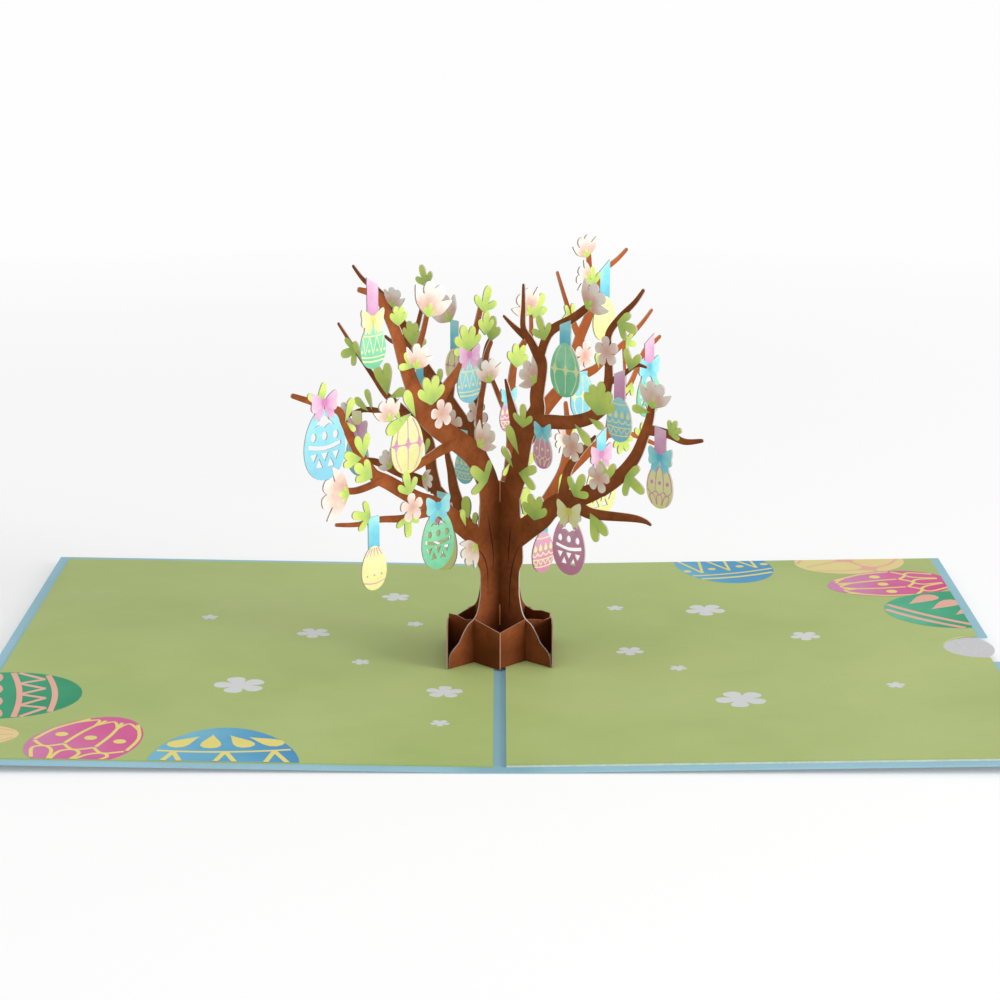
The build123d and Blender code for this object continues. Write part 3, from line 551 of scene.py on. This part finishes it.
class TreeSheet:
    """Drawings of one tree sheet. Its tables' shares come in hundredths."""

    def __init__(self, letter, u_axis, slot_from_top):
        self.letter, self.u_axis, self.slot_from_top = letter, u_axis, slot_from_top
        self.normal = u_axis.cross(up)
        self.origin = Vector((0, tree_place, 0))
        self.drawings = [Drawing(f"tree_{letter}_{kind}", self.place)
                         for kind in ("bark", "leaves", "blossoms", "eggs", "bows")]
        self.bark, self.leaves, self.blossoms, self.eggs, self.bows = self.drawings
        self.used = {}

    def place(self, u, z, height):
        return self.origin + self.u_axis * u + up * z + self.normal * height

    def levels(self, layer):
        """Both faces of the next element in a layer."""
        self.used[layer] = self.used.get(layer, 0) + 1
        half = layers[layer] + layer_step * self.used[layer]
        return (-half, half)

    def limb(self, base, tip, *places):
        """Tapered branch with a rounded tip."""
        base, tip = base / 100, tip / 100
        middle = curve_through(stretched(paired(*places), sheet_reach, sheet_height),
                               limb_steps)
        side = 1 if middle[0][0] >= 0 else -1
        left, right, heading = edges_of(
            middle, lambda step, last: limb_width * (base + (tip - base) * step / last) / 2)
        end = limb_width * tip / 2
        forward = (cos(heading), sin(heading))
        u, z = middle[-1]
        for turn in tip_turns:
            ahead = end * sin(turn * pi / 2)
            for edge, out in ((left, end * cos(turn * pi / 2)), (right, -end * cos(turn * pi / 2))):
                edge.append((u + ahead * forward[0] - out * forward[1],
                             z + ahead * forward[1] + out * forward[0]))
        left, right = ([self.beside_slot(p, side) for p in edge] for edge in (left, right))
        # Branches on the right half of sheet A, which faces the lamp, take the bark with painted
        # light.
        colour = "bark_warm" if self.letter == "a" and side > 0 else "bark"
        self.bark.strip(left, right, self.levels("bark"), colour)

    def beside_slot(self, point, side):
        """Keeps a branch's foot on its own side of the slot."""
        u, z = point
        if z < trunk_top + relief_length and side * u < relief_half:
            u = side * relief_half
        return (u, z)

    def trunk(self):
        """Trunk and foot in one piece, slotted from above or below."""
        edge = stretched(trunk_edge_shares, trunk_half_width, trunk_top)
        edge += stretched(foot_edge_shares, foot_reach, foot_height)
        tip = foot_reach - sheet / 2 - foot_tip_gap
        slot_out, slot_in = foot_reach / 2 + foot_slot_half, foot_reach / 2 - foot_slot_half
        slot_end = (slot_half, trunk_top / 2)
        relief_top = trunk_top if self.slot_from_top else lower_relief_top
        relief_foot = relief_top - relief_length
        relief = [(slot_half, relief_foot), (relief_half, relief_foot), (relief_half, relief_top)]
        halves = []
        for side in (1, -1):
            floor = [floor_height(side * u / sqrt(2)) for u in (tip, slot_out, slot_in, slot_half)]
            run = [(min(u, tip), z) for u, z in curve_through(edge, edge_steps)]
            run += [(tip, floor[0]), (slot_out, floor[1]), (slot_out, brace_slot_height),
                    (slot_in, brace_slot_height), (slot_in, floor[2])]
            if self.slot_from_top:
                run = [slot_end] + relief + run + [(slot_half, floor[3])]
            else:
                run += [(slot_half, floor[3])] + relief + [(slot_half, relief_top), slot_end]
            halves.append([(side * u, z) for u, z in run])
        ring = halves[0] + halves[1][::-1]
        self.bark.pierced(ring, [], (-layers["bark"], layers["bark"]), "bark")
        # Painted light: a bright bar of bark where the other sheet's relief opens, in a corner that
        # would leave it in shade.
        window_top = lower_relief_top if self.slot_from_top else trunk_top
        left, right = ([(side * relief_half, window_top - step * relief_length) for step in (1, 0)]
                       for side in (-1, 1))
        self.bark.strip(left, right, (-layers["stroke"], layers["stroke"]), "bark_light")

    def stroke(self, *run):
        """Dark bark line, widest at its middle."""
        line(self.bark, run, stroke_width, self.levels("stroke"), "bark_line", tapered=True)

    def at(self, u, z):
        """Place on the sheet from hundredths."""
        return (u / 100 * sheet_reach, z / 100 * sheet_height)

    def lobes(self, drawing, place, fan, colour, layer, full_ring=False, outer_shares=None):
        """Fan or full ring of round-ended lobes about a place, shaded from the place outwards."""
        ring, reach = lobe_outline(place, *fan, full_ring, outer_shares)

        def tone(u, z):
            return min(1.0, hypot(u - place[0], z - place[1]) / reach)

        drawing.fan(ring, place if full_ring else None, self.levels(layer), colour, tone)

    def leaf(self, u, z, heading, length, count=1, spread=30):
        fan = (count, heading, spread, leaf_length * (length / 100), leaf_form)
        self.lobes(self.leaves, self.at(u, z), fan, "leaf", "leaf")

    def blossom(self, u, z, heading, length):
        """Blossom from the side: merged petals over a green calyx."""
        place, length = self.at(u, z), blossom_length * (length / 100)
        fan = (side_petals, heading, petal_spread, length, petal_form)
        self.lobes(self.blossoms, place, fan, "petal", "blossom", outer_shares=outer_petal_shares)
        fan = (calyx_lobes, heading, calyx_spread, length * calyx_share, leaf_form)
        self.lobes(self.blossoms, place, fan, "calyx", "calyx")

    def flower(self, u, z, turn):
        fan = (flower_petals, turn, 360 / flower_petals, flower_radius, flower_form)
        self.lobes(self.blossoms, self.at(u, z), fan, "flower", "blossom", full_ring=True)

    def egg(self, u, z, size, ornament, colour, line_colour, ribbon_top, slant, ribbon, bow):
        """Egg with its ornament, ribbon and bow."""
        place, size = self.at(u, z), size / 100
        wide, tall = egg_width * size, egg_height * size
        ring = moved(egg_ring(wide, tall), place)

        def tone(u, z):
            return (z - place[1]) / tall + 0.5

        # The first egg of sheet A hangs behind a branch.
        is_under = self.letter == "a" and "egg_under" not in self.used
        levels = self.levels("egg_under" if is_under else "egg")
        if ornament == "pierced":
            holes = [moved(hole, place) for hole in egg_cuts(wide, tall)]
            self.eggs.pierced(ring, holes, levels, colour, tone)
        else:
            self.eggs.fan(ring, place, levels, colour, tone)
            levels = self.levels("ornament")
            ornaments[ornament](*egg_pen(self.eggs, place, wide, tall, levels, line_colour))
        if ribbon:
            out = ribbon_width / 2 * min(1, size * ribbon_growth_share)
            low, high = place[1] + tall * ribbon_foot_share, ribbon_top / 100 * sheet_height
            left, right = (
                [(place[0] + side * out,
                  low + (high + side * (slant / 100) * out - low) * step / ribbon_steps)
                 for step in range(ribbon_steps + 1)] for side in (-1, 1))
            self.bows.strip(left, right, self.levels("ribbon"), ribbon + "_ribbon")
        if bow:
            scale = min(1, size * bow_growth_share)
            self.bow(place[0], place[1] + tall / 2, scale, bow + "_bow")

    def bow(self, u, z, scale, colour):
        """Bow with its tails spread over the egg's top."""
        width, height = bow_width * scale, bow_height * scale
        z += height * bow_raise_share
        for side in (-1, 1):
            for shares, far in bow_parts:
                ring = [(u + side * a, z + b) for a, b in stretched(shares, width, height)]
                ring = curve_through(ring, small_steps, closed=True, corners=(0,))

                def tone(a, b):
                    return min(1.0, hypot(a - u, b - z) / (width * far))

                self.bows.fan(ring, centre_of(ring), self.levels("bow"), colour, tone)
        ring = moved(stretched(knot_shares, width, height), (u, z))
        ring = curve_through(ring, small_steps, closed=True)
        self.bows.fan(ring, (u, z), self.levels("bow"), colour, lambda a, b: 0.0)


def lobe_outline(place, count, heading, spread, length, form, full_ring=False, outer_shares=None):
    """Smooth outline of a fan or full ring of lobes, which its place sees whole, and its reach."""
    half_share, lobe_shares, notch_share = form
    half_spread = radians(spread / 2)
    limit = tan(half_spread)
    slimness = min(half_share, room_share * limit)
    # The lobes are shorter to a fan's sides. In a full ring, a pair or a blossom all are alike.
    reaches = [length] * count
    if count > 2 and not (full_ring or outer_shares):
        reaches = [length * (1 - outer_loss_share * abs(2 * step / (count - 1) - 1))
                   for step in range(count)]
    ring = []
    for step, reach in enumerate(reaches):
        is_first, is_last = (not full_ring and step == end for end in (0, count - 1))
        shares = outer_shares if outer_shares and (is_first or is_last) else lobe_shares
        sides = stretched(shares, reach, reach * slimness)
        run = [(a, -b) for a, b in sides] + sides[::-1]
        shoulder = (reach * shoulder_share[0], reach * slimness * shoulder_share[1])
        ends = []
        for is_open, other, side in ((is_first, step - 1, -1), (is_last, (step + 1) % count, 1)):
            notch = notch_share * min(reach, reaches[other])
            ends.append([(0.0, 0.0), (shoulder[0], side * shoulder[1])] if is_open
                        else [(notch * cos(half_spread), side * notch * sin(half_spread))])
        lobe = curve_through(ends[0] + run + ends[1][::-1], small_steps)
        low, high = (-free_slope if is_first else -limit), (free_slope if is_last else limit)
        lobe = [(a, max(low * a, min(high * a, b))) for a, b in lobe[:-1]]
        ring += moved(lobe, place, radians(heading + spread * (step - (count - 1) / 2)))
    return ring, max(reaches)


def floor_height(x):
    """Lowest point of a sheet that stands at x."""
    return (right_foot if x > 0 else left_foot) + abs(x) * card_slope


def egg_ring(wide, tall):
    """Egg, blunt end down."""
    angles = [2 * pi * step / egg_points for step in range(egg_points)]
    return [(wide / 2 * sin(angle) * (1 - egg_taper_share * cos(angle)), tall / 2 * cos(angle))
            for angle in angles]


def egg_half_at(share):
    """Half width of an egg, as a share of its width, at a height share from its middle."""
    rise = 2 * share
    return sqrt(1 - rise * rise) * (1 - egg_taper_share * rise) / 2


def egg_cuts(wide, tall):
    """Holes of a pierced egg."""
    cuts = [curve_through(stretched(shares, wide, tall), small_steps, True, corners)
            for shares, corners in ((arch_shares, (0, 2, 4)), (bar_shares, (0, 2, 3, 5)))]
    turns = [2 * pi * k / dot_points for k in range(dot_points)]
    across, along = (dot_radius_share * tall * stretch for stretch in dot_stretch)
    for place in stretched(dot_place_shares, wide, tall):
        cuts.append(moved([(across * cos(turn), along * sin(turn)) for turn in turns], place))
    for shares, places in teeth_shares:
        tooth = stretched(shares, wide, tall)
        cuts += [moved(tooth, place) for place in stretched(places, wide, tall)]
    return cuts


def line(drawing, run, width, levels, colour, tapered=False, keep=None):
    """Painted line along a run of points. Keep cuts each stretch to a rectangle."""
    points = (curve_through(run, line_steps) if len(run) > 2
              else [run[0], centre_of(run), run[1]])
    left, right, _ = edges_of(points, lambda step, last: width / 2 * (
        max(thinnest_share, sin(pi * step / last)) if tapered else 1.0))
    if keep is None:
        drawing.strip(left, right, levels, colour)
        return
    for k in range(len(points) - 1):
        ring = clipped([left[k], right[k], right[k + 1], left[k + 1]], *keep)
        if len(ring) > 2:
            drawing.fan(ring, centre_of(ring), levels, colour)


# Egg ornaments. A pen takes places across the egg's width and up its height.
def egg_pen(drawing, place, wide, tall, levels, colour, turn=0.0, keep=None):
    """Functions for a line and a dot on an egg, in shares of its size, each a hair over the last.

    On the tree an egg has both its faces printed, and on a liner, where keep is given, its top.
    """
    drawn = []

    def at(across, share):
        half = egg_half_at(share) * drawn_share
        return (max(-1.0, min(1.0, across)) * half * wide, share * tall)

    def next_levels():
        drawn.append(pen_step)
        low = levels[0] - sum(drawn) if keep is None else levels[0]
        return (low, levels[1] + sum(drawn))

    def stroke(shares, weight, tapered=False):
        run = moved([at(a, b) for a, b in shares], place, turn)
        line(drawing, run, weight * wide, next_levels(), colour, tapered, keep)

    def dot(across, share, radius, stretch=1.0, lean=None):
        """Round dot, or with a lean a drop with its point up."""
        ring = []
        for k in range(pen_dot_points):
            angle = 2 * pi * k / pen_dot_points
            bulge = 1.0 if lean is None else drop_bulge * (1 - cos(angle))
            ring.append((radius * wide * sin(angle) * bulge, radius * wide * stretch * cos(angle)))
        middle = moved([at(across, share)], place, turn)[0]
        ring = moved(moved(ring, (0, 0), lean or 0.0), middle, turn)
        if keep is not None:
            ring = clipped(ring, *keep)
        if len(ring) > 2:
            drawing.fan(ring, centre_of(ring), next_levels(), colour)
    return stroke, dot


def band(stroke, share, weight, sag=0.03):
    """Line round an egg, lower at its middle."""
    side = share - sag * 0.75
    stroke([(-1, share), (-0.5, side), (0, share - sag), (0.5, side), (1, share)], weight)


def zigzag(stroke, low_share, high_share, teeth, weight):
    """Row of teeth round an egg, as single straight strokes."""
    for k in range(teeth):
        left, middle, right = (-1 + 2 * (k + part) / teeth for part in (0, 0.5, 1))
        stroke([(left, high_share), (middle, low_share)], weight)
        stroke([(middle, low_share), (right, high_share)], weight)


def zigzag_ornament(stroke, dot):
    for across in (-0.7, -0.25, 0.25, 0.7):
        stroke([(across, 0.46), (across * 1.05, 0.26)], 0.028)
    band(stroke, 0.24, 0.045)
    zigzag(stroke, -0.17, 0.21, 3, 0.03)
    for across in (-0.92, -0.333, 0.333, 0.92):
        dot(across, -0.10, 0.045)
    band(stroke, -0.22, 0.04)
    band(stroke, -0.31, 0.05)


def stars_ornament(stroke, dot):
    for across in (-0.72, 0.05, 0.80):
        stroke([(across, share) for share in (0.44, 0.22, 0.0, -0.22, -0.44)], 0.03)
        stroke([(across, share) for share in (0.13, 0.0, -0.11)], 0.11, tapered=True)
        stroke([(across + out, 0.0) for out in (-0.26, 0.0, 0.26)], 0.10, tapered=True)
    band(stroke, 0.01, 0.03, 0.01)


def petals_ornament(stroke, dot):
    band(stroke, 0.36, 0.04, 0.02)
    for across in (-0.80, -0.27, 0.27, 0.80):
        dot(across, 0.13, 0.08, 1.7, 0.0)
        cup = ((-0.26, 0.0), (-0.13, -0.07), (0.13, -0.07), (0.26, 0.0))
        stroke([(across + out, share) for out, share in cup], 0.045)
    band(stroke, -0.15, 0.04)
    zigzag(stroke, -0.31, -0.18, 4, 0.035)
    band(stroke, -0.33, 0.04)


def drops_ornament(stroke, dot):
    for across, lean in ((-0.72, -0.75), (-0.24, -0.05), (0.27, 0.5), (0.74, 0.95)):
        dot(across, 0.28, 0.072, 2.0, lean)
    band(stroke, 0.14, 0.03)
    for across in (-0.74, 0.02, 0.74):
        for out in (-0.22, 0.22):
            stroke([(across + out, -0.14), (across, 0.12)], 0.035)
    band(stroke, -0.22, 0.04)


def tulips_ornament(stroke, dot):
    for across in (-0.70, -0.24, 0.24, 0.70):
        dot(across, 0.03, 0.085, 2.1, pi)
    band(stroke, -0.24, 0.05)
    band(stroke, -0.35, 0.05)


def lace_ornament(stroke, dot):
    for across in (-0.95, -0.32, 0.32, 0.95):
        stroke([(across, 0.40), (across, 0.15), (across, -0.10)], 0.035)
    for across in (-0.62, 0.0, 0.62):
        dot(across, 0.05, 0.06)
        for side, middle, weight in ((0.28, 0.40, 0.03), (-0.12, -0.20, 0.035)):
            stroke([(across - 0.31, side), (across, middle), (across + 0.31, side)], weight)
    for across in (-0.62, 0.0, 0.62):
        arch = ((-0.28, -0.42), (-0.22, -0.26), (0.0, -0.20), (0.22, -0.26), (0.28, -0.42))
        stroke([(across + out, share) for out, share in arch], 0.035)


def rays_ornament(stroke, dot):
    for across in (-0.85, -0.45, 0.0, 0.45, 0.85):
        stroke([(across * 0.9, 0.45), (across, 0.28)], 0.03)
    for across in (-0.6, 0.0, 0.6):
        dot(across, -0.16, 0.035)
    band(stroke, -0.30, 0.035, 0.05)


ornaments = {"zigzag": zigzag_ornament, "stars": stars_ornament, "petals": petals_ornament,
             "drops": drops_ornament, "tulips": tulips_ornament, "lace": lace_ornament,
             "rays": rays_ornament}


# Materials.
def colour_of(red, green, blue):
    """Scene-linear colour of a screen colour given in 255ths."""
    values = []
    for value in (red, green, blue):
        value /= 255
        values.append(value / 12.92 if value <= 0.04045 else ((value + 0.055) / 1.055) ** 2.4)
    return (*values, 1.0)


def node(tree, kind, output, inputs=None, **settings):
    """Output of a new shader node with its settings and inputs, each a value or a socket."""
    made = tree.nodes.new("ShaderNode" + kind)
    for name, value in settings.items():
        setattr(made, name, value)
    for name, value in (inputs or {}).items():
        if isinstance(value, bpy.types.NodeSocket):
            tree.links.new(value, made.inputs[name])
        else:
            made.inputs[name].default_value = value
    return made.outputs[output]


def noise(tree, scale, detail=3.0, roughness=0.55):
    """Noise over the object's own space."""
    return node(tree, "TexNoise", "Fac", {"Scale": scale, "Detail": detail, "Roughness": roughness,
                                          "Vector": node(tree, "TexCoord", "Object")})


def spread(tree, value, low, high, to_high=1.0, to_low=0.0):
    """Value mapped from one range to another."""
    return node(tree, "MapRange", "Result", {"Value": value, "From Min": low, "From Max": high,
                                             "To Min": to_low, "To Max": to_high})


def attribute(tree, name):
    return node(tree, "Attribute", "Fac", attribute_name=name)


def object_place(tree, axis):
    """One of a point's three places in the object's own space."""
    return node(tree, "SeparateXYZ", axis, {"Vector": node(tree, "TexCoord", "Object")})


def maths(tree, first, second, kind="ADD"):
    """Two values added, or worked out in another way, and kept between 0 and 1."""
    return node(tree, "Math", "Value", {0: first, 1: second}, operation=kind, use_clamp=True)


def ramp(tree, value, stops):
    """Colour ramp. Stops are places and screen colours."""
    stops = list(stops)
    made = tree.nodes.new("ShaderNodeValToRGB")
    elements = made.color_ramp.elements
    while len(elements) < len(stops):
        elements.new(0.5)
    for element, (place, colour) in zip(elements, stops):
        element.position = place
        element.color = colour_of(*colour)
    tree.links.new(value, made.inputs["Fac"])
    return made.outputs["Color"]


def mixed(tree, factor, first, second):
    """Two colours mixed, each a socket or a screen colour."""
    first, second = (colour_of(*value) if isinstance(value, tuple) else value
                     for value in (first, second))
    return node(tree, "Mix", "Result", {"Factor": factor, "A": first, "B": second},
                data_type="RGBA")


def paper(name, colour, gloss=paper_gloss):
    """Paper with its fine tooth. Colour is a function that gives a colour socket of a node tree."""
    material = bpy.data.materials.new(name)
    material.use_nodes = True
    tree = material.node_tree
    shader = tree.nodes["Principled BSDF"]
    shader.inputs["Roughness"].default_value = paper_roughness
    shader.inputs["Specular IOR Level"].default_value = gloss
    tree.links.new(colour(tree), shader.inputs["Base Color"])
    tooth = node(tree, "Bump", "Normal", {"Strength": tooth_strength, "Distance": tooth_depth,
                                          "Height": noise(tree, tooth_scale, 4.0)})
    tree.links.new(tooth, shader.inputs["Normal"])
    return material


def painted(stops, blot, amount=blot_amount, scale=tree_blot_scale):
    """Watercolour field: a ramp from the element's root outwards, with darker blots."""
    def colour(tree):
        drift = spread(tree, noise(tree, scale * drift_scale_share, 2.0), drift_from, drift_full,
                       wander_share / 2, -wander_share / 2)
        field = ramp(tree, maths(tree, attribute(tree, "along"), drift), stops)
        blots = spread(tree, noise(tree, scale, 4.0, 0.65), blot_from, blot_full, amount)
        return mixed(tree, blots, field, blot)
    return colour


def core_colour(tree):
    """Pale core on the cut edge of the printed paper."""
    return ramp(tree, noise(tree, 3000.0), ((0.3, (176, 166, 160)), (0.7, (192, 184, 178))))


def bark_print(tree):
    """Brown wash with warm and dark mottling."""
    wash = ramp(tree, noise(tree, 130.0, 5.0, 0.6),
                ((0.30, (112, 58, 28)), (0.50, (138, 76, 40)), (0.72, (164, 92, 52))))
    warm = spread(tree, noise(tree, 420.0, 3.0, 0.6), 0.52, 0.70, 0.55)
    specks = spread(tree, noise(tree, 1100.0, 5.0, 0.7), 0.50, 0.74, 0.4)
    return mixed(tree, specks, mixed(tree, warm, wash, (162, 80, 40)), (92, 42, 18))


def bark(painted_light):
    """Bark of the trunk and branches, with painted shade along the fold where the two sheets cross
    and towards the foot, and painted light, a lighter and warmer tone by the given amount, growing
    away from the trunk.

    Its distances from the fold and heights are metres.
    """
    def colour(tree):
        from_fold = maths(tree, object_place(tree, "X"), 0.0, "ABSOLUTE")
        edge = maths(tree, spread(tree, attribute(tree, "across"), 0.55, 1.0, 0.35),
                     spread(tree, from_fold, 0.005, 0.011), "MULTIPLY")
        toned = mixed(tree, edge, bark_print(tree), (96, 48, 22))
        # Painted light: lighter, warmer bark further out to the right.
        painted_light_share = spread(tree, object_place(tree, "X"), 0.005, 0.03, painted_light)
        # Painted shade in the inner corner along the fold, where the two sheets cross, below the
        # top of the trunk.
        fold_shade = maths(tree, spread(tree, from_fold, 0.0051, 0.00024, 0.44),
                     spread(tree, object_place(tree, "Z"), 0.058, 0.047), "MULTIPLY")
        # Painted shade, growing darker towards the foot of the sheet.
        foot_shade = spread(tree, object_place(tree, "Z"), 0.021, 0.0023, 0.5)
        return mixed(tree, maths(tree, fold_shade, foot_shade), mixed(tree, painted_light_share, toned, (204, 106, 52)),
                     (78, 36, 14))
    return colour


def foot_bark(face_normal):
    """Bark print on a CAD panel's faces, with painted shade growing towards the bottom, and the
    pale core on its cut edges.
    """
    def colour(tree):
        facing = node(tree, "VectorMath", "Value", {0: node(tree, "NewGeometry", "True Normal"),
                                                    1: face_normal}, operation="DOT_PRODUCT")
        printed = spread(tree, maths(tree, facing, facing, "MULTIPLY"), 0.4, 0.6)
        # Painted shade, darker towards the bottom of the panel.
        low_shade = spread(tree, object_place(tree, "Z"), 0.0125, 0.005, 0.75, 0.1)
        return mixed(tree, printed, (168, 132, 116), mixed(tree, low_shade, bark_print(tree),
                                                           (84, 40, 14)))
    return colour


def liner_colour(tree):
    """Green wash of the liners."""
    wash = ramp(tree, noise(tree, 14.0, 4.0, 0.6),
                ((0.32, (158, 176, 104)), (0.50, (167, 183, 112)), (0.70, (174, 188, 120))))
    fibres = spread(tree, noise(tree, 900.0, 4.0, 0.7), 0.40, 0.75, 0.16)
    return mixed(tree, fibres, wash, (150, 166, 98))


def cover_colour(tree):
    """Blue cover board, with painted shade in the fold."""
    wash = ramp(tree, noise(tree, 30.0, 4.0), ((0.35, (143, 185, 200)), (0.65, (151, 193, 207))))
    fibres = spread(tree, noise(tree, 1200.0, 4.0, 0.7), 0.45, 0.75, 0.2)
    # Painted shade along the card's fold at x = 0.
    squared = maths(tree, object_place(tree, "X"), object_place(tree, "X"), "MULTIPLY")
    fold_shade = spread(tree, squared, 0.00012, 0.00002, 0.45)
    return mixed(tree, fold_shade, mixed(tree, fibres, wash, (132, 176, 192)), (112, 154, 170))


def uncoated(pale, dark):
    """Uncoated paper."""
    return lambda tree: ramp(tree, noise(tree, 700.0, 5.0, 0.7), ((0.35, dark), (0.65, pale)))


def print_materials():
    """Materials of all drawings by their slot."""
    made = {"core": paper("paper_core", core_colour),
            "bark": paper("bark", bark(0.0), bark_gloss),
            # Bark with painted light, for the lit right half of sheet A.
            "bark_warm": paper("bark_warm", bark(0.42), bark_gloss)}
    for paints, scale in ((tree_paints, tree_blot_scale), (liner_paints, liner_blot_scale)):
        for name, (blot, *wash) in paints.items():
            places = paint_stops.get(name) or [k / (len(wash) - 1) for k in range(len(wash))]
            made[name] = paper(name, painted(zip(places, wash), blot, scale=scale))
    for colour, (deep, middle, pale) in tied_paints.items():
        for kind, (middle_stop, amount) in tied_kinds.items():
            name = f"{colour}_{kind}"
            stops = ((0.0, deep), (middle_stop, middle), (1.0, pale))
            made[name] = paper(name, painted(stops, deep, amount))
    return made


def liner_print(name, flowers, eggs, low, high, inner_x):
    """Blossoms and eggs printed on one liner, which rises from its inner edge."""
    def place(x, y, height):
        rise = abs(x - inner_x) * card_slope
        return Vector((x, y, low.z + liner_thick + rise + height))

    drawing = Drawing(name, place)
    keep = ((low.x, low.y), (high.x, high.y))
    level = print_high
    for x, y, radius, turn in flowers:
        ring, _ = lobe_outline((x, y), flower_petals, turn, 360 / flower_petals, radius,
                               flower_form, True)
        drawing.fan(ring, (x, y), (print_low, level), "chalk")
    for x, y, wide, tall, turn, colour, ornament, line_colour in eggs:
        level += print_egg_step
        ring = clipped(moved(egg_ring(wide, tall), (x, y), radians(turn)), *keep)

        def tone(a, b):
            return 0.5 + (a - x) / tall

        drawing.fan(ring, centre_of(ring), (print_low, level), colour, tone)
        level += print_ornament_step
        ornaments[ornament](*egg_pen(drawing, (x, y), wide, tall, (print_low, level),
                                     line_colour, radians(turn), keep))
    return drawing


def tree_sheets(materials):
    """Both tree sheets, in place of their plain solids."""
    tables = (("a", slope, True, limbs_a, strokes_a, leaves_a, blossoms_a, flowers_a, eggs_a),
              ("b", back_slope, False, limbs_b, strokes_b, leaves_b, blossoms_b, flowers_b, eggs_b))
    for letter, u_axis, slot_from_top, *rows_of_kinds in tables:
        tree = TreeSheet(letter, u_axis, slot_from_top)
        tree.trunk()
        draws = (tree.limb, tree.stroke, tree.leaf, tree.blossom, tree.flower, tree.egg)
        for draw, rows in zip(draws, rows_of_kinds):
            for row in rows:
                draw(*row)
        for drawing in tree.drawings:
            piece = drawing.finished(materials)
            if drawing is tree.bark:
                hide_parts(f"tree_sheet_{letter}")


def dress_card():
    """Materials of the pieces that keep their CAD shape."""
    green = paper("liner_green", liner_colour)
    left, right, side = (
        paper(f"foot_bark_{name}", foot_bark(face_normal), bark_gloss)
        for name, face_normal in (("left", tuple(back_slope.cross(up))),
                                  ("right", tuple(slope.cross(up))), ("side", (1.0, 0.0, 0.0))))
    dressed = {
        "cover": paper("cover_blue", cover_colour),
        "pocket_rails": paper("rail_paper", uncoated((214, 216, 206), (196, 200, 190))),
        "note_card": paper("note_paper", uncoated((202, 202, 205), (192, 192, 196))),
        "left_liner": green, "right_liner": green,
        "front_left_brace": left, "back_right_brace": left,
        "front_right_brace": right, "back_left_brace": right,
        "left_anchor": side, "right_anchor": side,
    }
    for name, material in dressed.items():
        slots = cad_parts[name].data.materials
        slots.clear()
        slots.append(material)


def seen(tree):
    """1 for what the camera sees, also in gloss or through glass."""
    camera_ray, glossy, through = (node(tree, "LightPath", f"Is {kind} Ray")
                                   for kind in ("Camera", "Glossy", "Transmission"))
    return maths(tree, maths(tree, camera_ray, glossy), through)


def floor_material():
    """Matt floor that turns into a plain backdrop far away."""
    material = bpy.data.materials.new("floor_white")
    material.use_nodes = True
    tree = material.node_tree
    tree.nodes.remove(tree.nodes["Principled BSDF"])
    matt = node(tree, "BsdfDiffuse", "BSDF", {"Color": floor_grey})
    glow = node(tree, "Emission", "Emission", {
        "Color": white, "Strength": maths(tree, seen(tree), floor_glow, "MULTIPLY")})
    lit = node(tree, "AddShader", "Shader", {0: matt, 1: glow})
    far = node(tree, "Emission", "Emission", {"Color": far_grey, "Strength": 1.0})
    distance = node(tree, "VectorMath", "Value", {0: node(tree, "NewGeometry", "Position")},
                    operation="LENGTH")
    fade = maths(tree, spread(tree, distance, near_reach, far_reach), seen(tree), "MULTIPLY")
    blend = node(tree, "MixShader", "Shader", {"Fac": fade, 1: lit, 2: far})
    tree.links.new(blend, tree.nodes["Material Output"].inputs["Surface"])
    return material


def studio():
    """Pale floor, soft light from the right, and an even room."""
    floor_mesh = bpy.data.meshes.new("floor")
    corners = [(x * floor_reach, y * floor_reach, -floor_drop)
               for x, y in ((-1, -1), (1, -1), (1, 1), (-1, 1))]
    floor_mesh.from_pydata(corners, [], [(0, 1, 2, 3)])
    floor_mesh.materials.append(floor_material())
    floor = placed("floor", floor_mesh)

    world = bpy.data.worlds.new("room")
    bpy.context.scene.world = world
    world.use_nodes = True
    tree = world.node_tree
    background = tree.nodes["Background"]
    strength = spread(tree, seen(tree), 0.0, 1.0, 1.0, room_strength)
    tree.links.new(strength, background.inputs["Strength"])
    background.inputs["Color"].default_value = white

    for name, place, size, power in lamps:
        light = bpy.data.lights.new(name, "AREA")
        light.shape = "SQUARE"
        light.size = size
        light.energy = power
        holder = placed(name, light)
        holder.location = place
        holder.rotation_mode = "QUATERNION"
        holder.rotation_quaternion = (lamp_aim - Vector(place)).to_track_quat("-Z", "Y")


def camera():
    """Camera at the photograph's place: low, straight in front, with a long lens."""
    lens = bpy.data.cameras.new("camera")
    lens.lens = camera_lens
    lens.sensor_width = 36.0
    lens.clip_start = 0.01
    lens.clip_end = 50.0
    holder = placed("camera", lens)
    pitch, yaw, roll = (radians(angle) for angle in camera_angles)
    turn = (Matrix.Rotation(-yaw, 4, "Z") @ Matrix.Rotation(pi / 2 - pitch, 4, "X")
            @ Matrix.Rotation(roll, 4, "Z"))
    holder.matrix_world = Matrix.Translation(camera_place) @ turn
    bpy.context.scene.camera = holder


materials = print_materials()
tree_sheets(materials)
for liner in (
        ("left_liner_print", left_flowers, left_eggs, liner_low, liner_high, liner_high.x),
        ("right_liner_print", right_flowers, right_eggs, right_low, right_high, right_low.x)):
    printed_piece = liner_print(*liner).finished(materials)
dress_card()
studio()
camera()

bpy.context.scene.view_settings.view_transform = "Standard"
